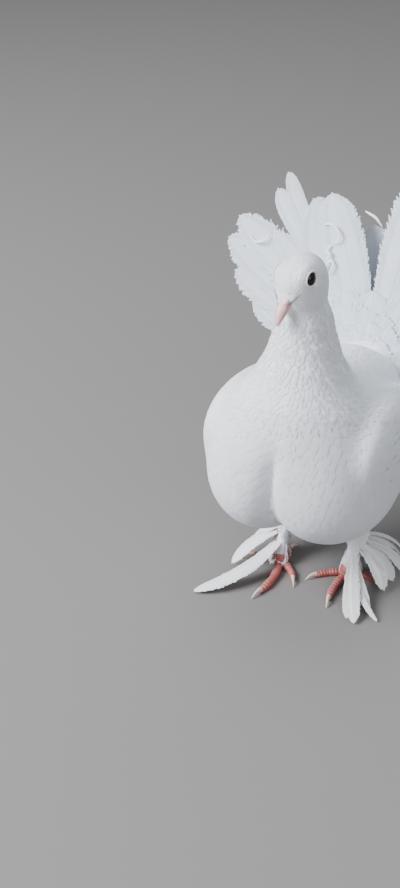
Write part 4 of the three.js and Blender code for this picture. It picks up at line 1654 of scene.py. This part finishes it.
class Foot:
    """One foot: its pad, scaled toes and claws, and the bare strip on the shank."""

    PAD = (6.2, 6.6, 5.8)
    PLATE = 2.1
    SHANK_PLATES = 14
    BARE_SIDE = {Side.LEFT: np.array([0.8, -0.6, 0.0]), Side.RIGHT: np.array([-0.75, -0.66, 0.0])}

    def __init__(self, side: Side) -> None:
        self.side = side
        self.centre = np.array([*FOOT_AT[side], 0.0])

    def line(self, toe: Toe, share: Array, height: Array) -> Array:
        """Places on a toe's curved line.

        Args:
            toe: The toe.
            share: Shares of the way out to the claw's tip.
            height: Heights above the floor.

        Returns:
            The places.
        """
        tip = np.array(toe.tip, float)
        away = toe.bow * np.sin(math.pi * share) / np.linalg.norm(tip)
        x = self.centre[0] + tip[0] * share - tip[1] * away
        y = self.centre[1] + tip[1] * share + tip[0] * away
        return np.stack([x, y, height + x * 0], -1)

    @staticmethod
    def _axes(middle: Array) -> tuple[Array, Array]:
        """Directions square to a line: level and upward.

        Args:
            middle: The line's points.

        Returns:
            The level and the upward direction at each point.
        """
        along = unit(np.gradient(middle, axis=0))
        across = unit(np.cross(along, UP))
        return across, np.cross(across, along)

    @staticmethod
    def _plate_edge(saw: Array) -> Array:
        """How pale the skin is near a plate's edge.

        Args:
            saw: Shares of the way over each plate.

        Returns:
            0 on the plate to 1 on its edge.
        """
        return np.exp(-(((saw - 0.93) / 0.09) ** 2))

    def toe(self, key: str, toe: Toe, finish: bpy.types.Material) -> None:
        """Makes a toe with a row of raised plates along its top.

        Args:
            key: The toe's name.
            toe: Its sizes.
            finish: Its material.
        """
        rings, sides = 84, 20
        length = float(np.linalg.norm(toe.tip))
        end = 1 - toe.claw / length + 0.02
        t = np.linspace(0, 1, rings)
        share = 0.02 + (end - 0.02) * t
        plates = round(length * end / self.PLATE)
        saw = (t * plates) % 1.0
        thick = toe.radius * (1 - 0.28 * t) * (1 + 0.06 * np.sin(t * 17 + 1))
        thick = thick * np.sqrt(np.clip(1.03 - t**16, 0.05, 1))
        turn = full_turn(sides)
        top = np.clip(np.sin(turn) + 0.25, 0, 1)
        plate = 1 + 0.13 * (saw**0.6 * (1 - ramp(saw, 0.82, 1.0)))[:, None] * top
        under = 1 + 0.05 * np.sin(t * 40)[:, None] * np.clip(-np.sin(turn), 0, 1)
        middle = self.line(toe, share, thick * 0.86)
        radius = thick[:, None] * plate * under
        points = tube(middle, *self._axes(middle), radius, radius, turn)
        points[..., 2] = np.maximum(points[..., 2], 0.0)
        name = f"toe_{key}_{self.side.word}"
        edge = self._plate_edge(saw)[:, None] * top
        vane = np.stack([edge, np.repeat(t[:, None], sides, 1), np.repeat(top[None], rings, 0)], -1)
        mesh = Mesh(f"{name}_scaled")
        mesh.add(points, tube_faces(rings, sides), None, vane)
        piece = mesh.build(finish, "toe_skin", True)
        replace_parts(piece, name)

    def claw(self, key: str, toe: Toe, finish: bpy.types.Material) -> None:
        """Makes a curved claw.

        Args:
            key: The toe's name.
            toe: Its sizes.
            finish: Its material.
        """
        rings, sides = 22, 14
        length = float(np.linalg.norm(toe.tip))
        start = 1 - toe.claw / length - 0.02
        t = np.linspace(0, 1, rings)
        thick = toe.radius * 0.55 * (1 - t) ** 0.85 + 0.14
        height = 2.4 + 1.3 * np.sin(math.pi * t) - 2.0 * t
        middle = self.line(toe, start + (1 - start) * t, height)
        thick = thick[:, None]
        points = tube(middle, *self._axes(middle), thick * 0.85, thick * 1.15, full_turn(sides))
        points[..., 2] = np.maximum(points[..., 2], 0.0)
        name = f"claw_{key}_{self.side.word}"
        mesh = Mesh(f"{name}_horn")
        mesh.add(points, tube_faces(rings, sides))
        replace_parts(mesh.build(finish, "claw_horn"), name)

    def pad(self, finish: bpy.types.Material) -> None:
        """Makes the foot's middle, where the toes meet.

        Args:
            finish: Its material.
        """
        rings, sides = 36, 28
        t = np.linspace(0.02, math.pi - 0.02, rings)
        turn = full_turn(sides)
        lumps = 1 + 0.03 * np.sin(9 * t)[:, None] * np.cos(7 * turn)
        x = self.PAD[0] * np.sin(t)[:, None] * np.cos(turn) * lumps
        y = self.PAD[1] * np.sin(t)[:, None] * np.sin(turn) * lumps
        z = self.PAD[2] * np.cos(t)[:, None] * np.ones(sides)
        points = np.stack([x, y, np.maximum(z + FOOT_HEIGHT, 0.0)], -1) + self.centre
        name = f"foot_{self.side.word}"
        edge = 0.35 * np.clip(np.sin(t * 26), 0, 1)[:, None] * np.ones(sides)
        vane = np.stack([edge, edge * 0 + 0.2, edge * 0 + 0.5], -1)
        mesh = Mesh(f"{name}_scaled")
        mesh.add(points, turned(tube_faces(rings, sides)), None, vane)
        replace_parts(mesh.build(finish, "toe_skin", True), name)

    def shank(self, finish: bpy.types.Material) -> None:
        """Makes the bare strip of skin that shows between the shank's feathers.

        Args:
            finish: Its material.
        """
        rings, sides = 40, 14
        t = np.linspace(0, 1, rings)
        hock, foot = (np.array(LEG_LINES[self.side][i][0]) for i in (2, 4))
        away = self.BARE_SIDE[self.side]
        middle = hock + (foot - hock) * (0.3 + 0.75 * t)[:, None] + away * 3.1
        turn = full_turn(sides)
        saw = (t * self.SHANK_PLATES) % 1.0
        thick = 1.75 * np.sin(np.clip(t * 4 + 0.3, 0, math.pi / 2)) * (1 + 0.06 * saw)
        across = unit(np.cross(foot - hock, away))
        round_out = across * np.cos(turn)[:, None] * 0.8 + away * np.sin(turn)[:, None]
        points = middle[:, None] + round_out[None] * thick[:, None, None]
        edge = np.repeat(self._plate_edge(saw)[:, None], sides, 1)
        vane = np.stack([edge, edge * 0 + 0.3, edge * 0 + 0.5], -1)
        mesh = Mesh(f"shank_{self.side.word}_scaled")
        mesh.add(points, tube_faces(rings, sides), None, vane)
        mesh.build(finish, "toe_skin", True)

    def build(self, flesh: bpy.types.Material, horn: bpy.types.Material) -> None:
        """Makes the whole foot.

        Args:
            flesh: The toes' material.
            horn: The claws' material.
        """
        self.pad(flesh)
        self.shank(flesh)
        for key, toe in TOES[self.side].items():
            self.toe(key, toe, flesh)
            self.claw(key, toe, horn)


class Curls:
    """The small curled plumes on the fan's front.

    Each has a depth and a line of knots, given in degrees and reach.
    """

    LINES = (
        (5.6, ((-24, 99.5), (-21.2, 99), (-18.8, 95.5), (-17.9, 90.5), (-19.6, 86.5), (-23, 86.5))),
        (6.0, ((-22.8, 84.5), (-25, 84.2), (-26.6, 82), (-25, 80), (-26.8, 78), (-28.6, 77.6))),
        (6.0, ((-31, 70), (-29, 74.4), (-26.3, 75.8), (-25.4, 73), (-28, 69.8), (-30.5, 67.5))),
        (12.2, ((-51.4, 123), (-51.6, 117), (-50, 113.2), (-47.8, 112), (-46, 113.4))),
        (2.6, ((-6, 105), (-3.8, 103.4), (-1.6, 101.6), (-0.2, 99), (1.2, 95.5))),
        (5.2, ((30, 92), (32.5, 95), (35.5, 93), (35, 88), (32, 86.5))),
        (11.6, ((48, 76), (50, 80), (53.6, 79), (54, 74))),
    )

    def __init__(self, tail: Tail) -> None:
        self.tail = tail

    def build(self, finish: bpy.types.Material) -> None:
        """Makes the curls.

        Args:
            finish: The plumes' material.
        """
        mesh = Mesh("curled_plumes")
        count, sides = 40, 6
        for base, line in self.LINES:
            knots = np.array(line, float)
            t = np.linspace(0, len(knots) - 1, count)
            path = self._smooth(knots, t)
            turn, radius = np.radians(path[:, 0]), path[:, 1]
            share = np.linspace(0, 1, count)
            at = self.tail.spot(turn, radius, 2.6 * np.sin(math.pi * share * 0.85) - base)
            along = unit(np.gradient(at, axis=0))
            across = unit(np.cross(along, self.tail.front))
            wide = 0.95 * np.sin(math.pi * np.clip(share * 0.94 + 0.05, 0, 1)) ** 0.6
            points = tube(at, across, self.tail.front[None], wide[:, None], 0.35, full_turn(sides))
            patch = np.tile(unwrap(FAN_AT[None])[0] + knots[0] * 1e-4, (count * sides, 1))
            vane = np.tile([0.003, 0.05, 0.95], (count * sides, 1))
            mesh.add(points, tube_faces(count, sides), patch, vane)
        mesh.build(finish, "plumage", True)

    @staticmethod
    def _smooth(knots: Array, t: Array) -> Array:
        """Runs a smooth line through the knots.

        Args:
            knots: The line's knots.
            t: Places along it, counted in knots.

        Returns:
            The line's points.
        """
        before, after = 2 * knots[:1] - knots[1:2], 2 * knots[-1:] - knots[-2:-1]
        padded = np.concatenate([before, knots, after])
        i = np.clip(t.astype(int), 0, len(knots) - 2)
        u = (t - i)[:, None]
        a, b, c, d = (padded[i + k] for k in range(4))
        bend = (2 * a - 5 * b + 4 * c - d) * u**2 + (3 * b - a - 3 * c + d) * u**3
        return 0.5 * (2 * b + (c - a) * u + bend)


@dataclass(frozen=True)
class Finish:
    """A surface: colour, roughness, how much light enters it, clear coat and shine."""

    name: str
    colour: tuple[float, float, float]
    roughness: float
    depth: float = 0.0
    coat: float = 0.0
    specular: float = 0.5

    def shader(self) -> tuple[bpy.types.Material, bpy.types.Node]:
        """Makes the material with its values on the shader's own sockets.

        Returns:
            The material and its shader node.
        """
        material = bpy.data.materials.new(self.name)
        material.use_nodes = True
        shader = material.node_tree.nodes["Principled BSDF"]
        shader.inputs["Base Color"].default_value = (*self.colour, 1)
        shader.inputs["Roughness"].default_value = self.roughness
        shader.inputs["Specular IOR Level"].default_value = self.specular
        shader.inputs["Coat Weight"].default_value = self.coat
        if self.depth:
            shader.inputs["Subsurface Weight"].default_value = self.depth
            shader.inputs["Subsurface Radius"].default_value = (0.0022, 0.002, 0.0018)
            shader.inputs["Subsurface Scale"].default_value = 1.0
        return material, shader


class Finishes:
    """Every material of the bird."""

    def __init__(self) -> None:
        barbs, fine = 4200.0, 5200.0
        self.skin = self._plain(Finish("down_white", (0.82, 0.82, 0.83), 0.9, 0.1, specular=0.2))
        small = Finish("small_feather_white", (0.86, 0.87, 0.9), 0.72, 0.25, specular=0.25)
        # Tail feathers: white painted darker and bluer, as painted shade for the raised fan.
        long = Finish("long_feather_white", (0.7, 0.73, 0.79), 0.62, 0.2, specular=0.3)
        flight = Finish("flight_feather_white", (0.82, 0.84, 0.88), 0.66, 0.2, specular=0.3)
        # Foot feathers: white painted warmer and darker, as painted shade and painted warm bounce light
        # from the floor beneath them.
        muff = Finish("worn_feather_white", (0.8, 0.79, 0.77), 0.7, 0.2, specular=0.25)
        self.small = self._feather(small, fine)
        self.long = self._feather(long, barbs)
        self.flight = self._feather(flight, barbs)
        self.muff = self._feather(muff, barbs)
        horn = Finish("pale_pink_horn", (0.64, 0.3, 0.31), 0.45, 0.15)
        cere = Finish("powdery_cere", (0.72, 0.45, 0.46), 0.8, 0.2)
        lid = Finish("pink_lid", (0.74, 0.62, 0.61), 0.65, 0.2)
        claw = Finish("pale_claw", (0.66, 0.42, 0.36), 0.4, 0.2)
        self.horn = self._mottled(horn, (0.74, 0.48, 0.49), 260.0)
        self.cere = self._mottled(cere, (0.82, 0.66, 0.66), 900.0)
        self.lid = self._mottled(lid, (0.84, 0.78, 0.78), 900.0)
        self.dark = self._plain(Finish("mouth_shadow", (0.16, 0.11, 0.11), 0.7))
        eye = Finish("dark_eye", (0.01, 0.004, 0.005), 0.06, coat=0.25, specular=0.35)
        self.eye = self._plain(eye)
        self.toe = self._scaled(Finish("coral_scales", (0.3, 0.05, 0.043), 0.5, 0.1))
        self.claw = self._mottled(claw, (0.74, 0.56, 0.48), 300.0)

    @staticmethod
    def _plain(finish: Finish) -> bpy.types.Material:
        """A surface of one colour.

        Args:
            finish: Its values.

        Returns:
            The material.
        """
        return finish.shader()[0]

    @staticmethod
    def _split_vane(tree: bpy.types.NodeTree) -> bpy.types.Node:
        """Reads a point's vane values and takes them apart.

        Args:
            tree: The nodes it is added to.

        Returns:
            The node with the three values as its outputs.
        """
        read = tree.nodes.new("ShaderNodeAttribute")
        read.attribute_name = "vane"
        split = tree.nodes.new("ShaderNodeSeparateXYZ")
        tree.links.new(read.outputs["Vector"], split.inputs[0])
        return split

    @staticmethod
    def _noise(tree: bpy.types.NodeTree, scale: float) -> bpy.types.NodeSocket:
        """Adds a soft noise over the object's own places.

        Args:
            tree: The nodes it is added to.
            scale: How fine it is.

        Returns:
            The noise's value.
        """
        place = tree.nodes.new("ShaderNodeTexCoord")
        noise = tree.nodes.new("ShaderNodeTexNoise")
        noise.inputs["Scale"].default_value = scale
        tree.links.new(place.outputs["Object"], noise.inputs["Vector"])
        return noise.outputs["Fac"]

    @staticmethod
    def _mix(
        tree: bpy.types.NodeTree, factor: bpy.types.NodeSocket,
        first: tuple[float, ...] | None, second: tuple[float, ...],
    ) -> bpy.types.Node:
        """Adds a mix of two colours.

        Args:
            tree: The nodes it is added to.
            factor: How much of the second colour shows.
            first: The first colour; None where it is linked later.
            second: The second colour.

        Returns:
            The mix.
        """
        mix = tree.nodes.new("ShaderNodeMix")
        mix.data_type = "RGBA"
        if first is not None:
            mix.inputs["A"].default_value = (*first, 1)
        mix.inputs["B"].default_value = (*second, 1)
        tree.links.new(factor, mix.inputs["Factor"])
        return mix

    @staticmethod
    def _math(
        tree: bpy.types.NodeTree, operation: str, first: bpy.types.NodeSocket,
        factor: float | None = None,
    ) -> bpy.types.Node:
        """Adds a calculation.

        Args:
            tree: The nodes it is added to.
            operation: Which one.
            first: Its first value.
            factor: Its second value, where that is a plain number.

        Returns:
            The calculation's node.
        """
        node = tree.nodes.new("ShaderNodeMath")
        node.operation = operation
        tree.links.new(first, node.inputs[0])
        if factor is not None:
            node.inputs[1].default_value = factor
        return node

    @classmethod
    def _barbs(cls) -> bpy.types.NodeTree:
        """The shared relief of barbs: slanting lines from the shaft to the edge.

        Returns:
            The node group, with the barbs' height as its output.
        """
        name = "barb_relief"
        if name in bpy.data.node_groups:
            return bpy.data.node_groups[name]
        group = bpy.data.node_groups.new(name, "ShaderNodeTree")
        for socket, way in (("Lines", "INPUT"), ("Height", "OUTPUT")):
            group.interface.new_socket(socket, in_out=way, socket_type="NodeSocketFloat")
        start, end = group.nodes.new("NodeGroupInput"), group.nodes.new("NodeGroupOutput")
        split = cls._split_vane(group)
        slant = cls._math(group, "ABSOLUTE", split.outputs["X"])
        lean = cls._math(group, "MULTIPLY_ADD", slant.outputs[0], -0.8)
        group.links.new(split.outputs["Y"], lean.inputs[2])
        count = cls._math(group, "MULTIPLY", lean.outputs[0])
        group.links.new(start.outputs["Lines"], count.inputs[1])
        wave = cls._math(group, "SINE", count.outputs[0])
        group.links.new(wave.outputs[0], end.inputs["Height"])
        return group

    @classmethod
    def _feather(cls, finish: Finish, lines: float) -> bpy.types.Material:
        """White feather: fine slanting barbs and a little difference from one feather to the next.

        Args:
            finish: Its values.
            lines: How close the barbs' lines are.

        Returns:
            The material.
        """
        material, shader = finish.shader()
        tree = material.node_tree
        shader.inputs["Sheen Weight"].default_value = 0.12
        relief = tree.nodes.new("ShaderNodeGroup")
        relief.node_tree = cls._barbs()
        relief.inputs["Lines"].default_value = lines
        bump = tree.nodes.new("ShaderNodeBump")
        bump.inputs["Strength"].default_value = 0.1
        bump.inputs["Distance"].default_value = 0.0001
        tree.links.new(relief.outputs["Height"], bump.inputs["Height"])
        tree.links.new(bump.outputs["Normal"], shader.inputs["Normal"])
        darker = tuple(c * 0.955 for c in finish.colour)
        mix = cls._mix(tree, cls._split_vane(tree).outputs["Z"], darker, finish.colour)
        tree.links.new(mix.outputs["Result"], shader.inputs["Base Color"])
        return material

    @classmethod
    def _mottled(
        cls, finish: Finish, other: tuple[float, float, float], scale: float
    ) -> bpy.types.Material:
        """A surface that shifts softly between two colours.

        Args:
            finish: Its values.
            other: The second colour.
            scale: How fine the shift is.

        Returns:
            The material.
        """
        material, shader = finish.shader()
        tree = material.node_tree
        mix = cls._mix(tree, cls._noise(tree, scale), finish.colour, other)
        tree.links.new(mix.outputs["Result"], shader.inputs["Base Color"])
        return material

    @classmethod
    def _scaled(cls, finish: Finish) -> bpy.types.Material:
        """Red toe skin with pale edges on its plates.

        Args:
            finish: Its values.

        Returns:
            The material.
        """
        material, shader = finish.shader()
        tree = material.node_tree
        tone = cls._mix(tree, cls._noise(tree, 420.0), finish.colour, (0.42, 0.1, 0.085))
        soften = cls._math(tree, "MULTIPLY", cls._split_vane(tree).outputs["X"], 0.75)
        edge = cls._mix(tree, soften.outputs[0], None, (0.66, 0.38, 0.34))
        tree.links.new(tone.outputs["Result"], edge.inputs["A"])
        tree.links.new(edge.outputs["Result"], shader.inputs["Base Color"])
        return material


class Stage:
    """The floor, the light and the camera."""

    CAMERA_AT = np.array([282.0, -633.0, 537.0])
    PITCH = 32.2
    HEADING = 30.0
    ROLL = -4.0
    LENS = 52.7
    LAMPS = (
        ("key", (-1.25, -1.15, 1.35), 1.2, 130.0),
        ("fill", (1.3, -0.9, 1.0), 1.6, 15.0),
        ("top", (-0.2, 0.4, 2.0), 1.6, 20.0),
    )

    def build(self) -> None:
        """Makes the floor, lights, surroundings and camera."""
        self._floor()
        for lamp in self.LAMPS:
            self._light(*lamp)
        world = bpy.data.worlds.new("surround")
        bpy.context.scene.world = world
        world.use_nodes = True
        back = world.node_tree.nodes["Background"]
        back.inputs["Color"].default_value = (0.88, 0.92, 1.0, 1)
        back.inputs["Strength"].default_value = 0.34
        self._camera()

    @staticmethod
    def _floor() -> None:
        """Makes the plain pale floor."""
        bpy.ops.object.select_all(action="DESELECT")
        bpy.ops.mesh.primitive_plane_add(size=8)
        floor = bpy.context.object
        floor.name = "floor"
        material, _ = Finish("pale_floor", (0.168, 0.157, 0.151), 0.85).shader()
        floor.data.materials.append(material)

    @staticmethod
    def _light(name: str, at: tuple[float, float, float], size: float, power: float) -> None:
        """Makes one soft lamp aimed at the bird.

        Args:
            name: The lamp's name.
            at: Its place in metres.
            size: Its width in metres.
            power: Its power in watts.
        """
        data = bpy.data.lights.new(name, "AREA")
        data.size = size
        data.energy = power
        data.color = (0.91, 0.95, 1.0)
        lamp = bpy.data.objects.new(name, data)
        bpy.context.scene.collection.objects.link(lamp)
        lamp.location = at
        aim = Vector((0, 0, 0.1)) - Vector(at)
        lamp.rotation_mode = "QUATERNION"
        lamp.rotation_quaternion = aim.to_track_quat("-Z", "Y")

    def _camera(self) -> None:
        """Makes the camera at the photograph's viewing angle."""
        heading, pitch, roll = (math.radians(v) for v in (self.HEADING, self.PITCH, self.ROLL))
        level = math.cos(pitch)
        ahead = np.array([-math.sin(heading) * level, math.cos(heading) * level, -math.sin(pitch)])
        right = np.array([math.cos(heading), math.sin(heading), 0.0])
        up = np.cross(right, ahead)
        c, s = math.cos(roll), math.sin(roll)
        right, up = right * c + up * s, -right * s + up * c
        data = bpy.data.cameras.new("camera")
        data.lens = self.LENS
        data.sensor_width = 36.0
        camera = bpy.data.objects.new("camera", data)
        bpy.context.scene.collection.objects.link(camera)
        turn = Matrix((right, up, -ahead)).transposed().to_4x4()
        place = Vector((self.CAMERA_AT + FRONT_SHIFT) * MM)
        camera.matrix_world = Matrix.Translation(place) @ turn
        bpy.context.scene.camera = camera


def corners(box: tuple[Vector, Vector]) -> list[list[float]]:
    """A box as plain lists.

    Args:
        box: Its lowest and highest corner.

    Returns:
        The two corners as lists of numbers.
    """
    return [[round(v, 6) for v in corner] for corner in box]


def main() -> None:
    """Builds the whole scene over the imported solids."""
    logging.basicConfig(level=logging.INFO)
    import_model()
    rng = np.random.default_rng(SEED)
    finishes = Finishes()
    Stage().build()
    skin = Skin().build(finishes.skin)
    Coat(skin, rng).build(finishes.small)
    tail = Tail(rng)
    tail.build(finishes.long)
    Curls(tail).build(finishes.small)
    Wings(rng).build(finishes.flight)
    Muffs(rng).build(finishes.muff)
    Bill().build(finishes.horn, finishes.cere, finishes.dark)
    Eyes().build(finishes.eye, finishes.lid)
    for side in Side:
        Foot(side).build(finishes.toe, finishes.claw)


if __name__ == "__main__":
    main()
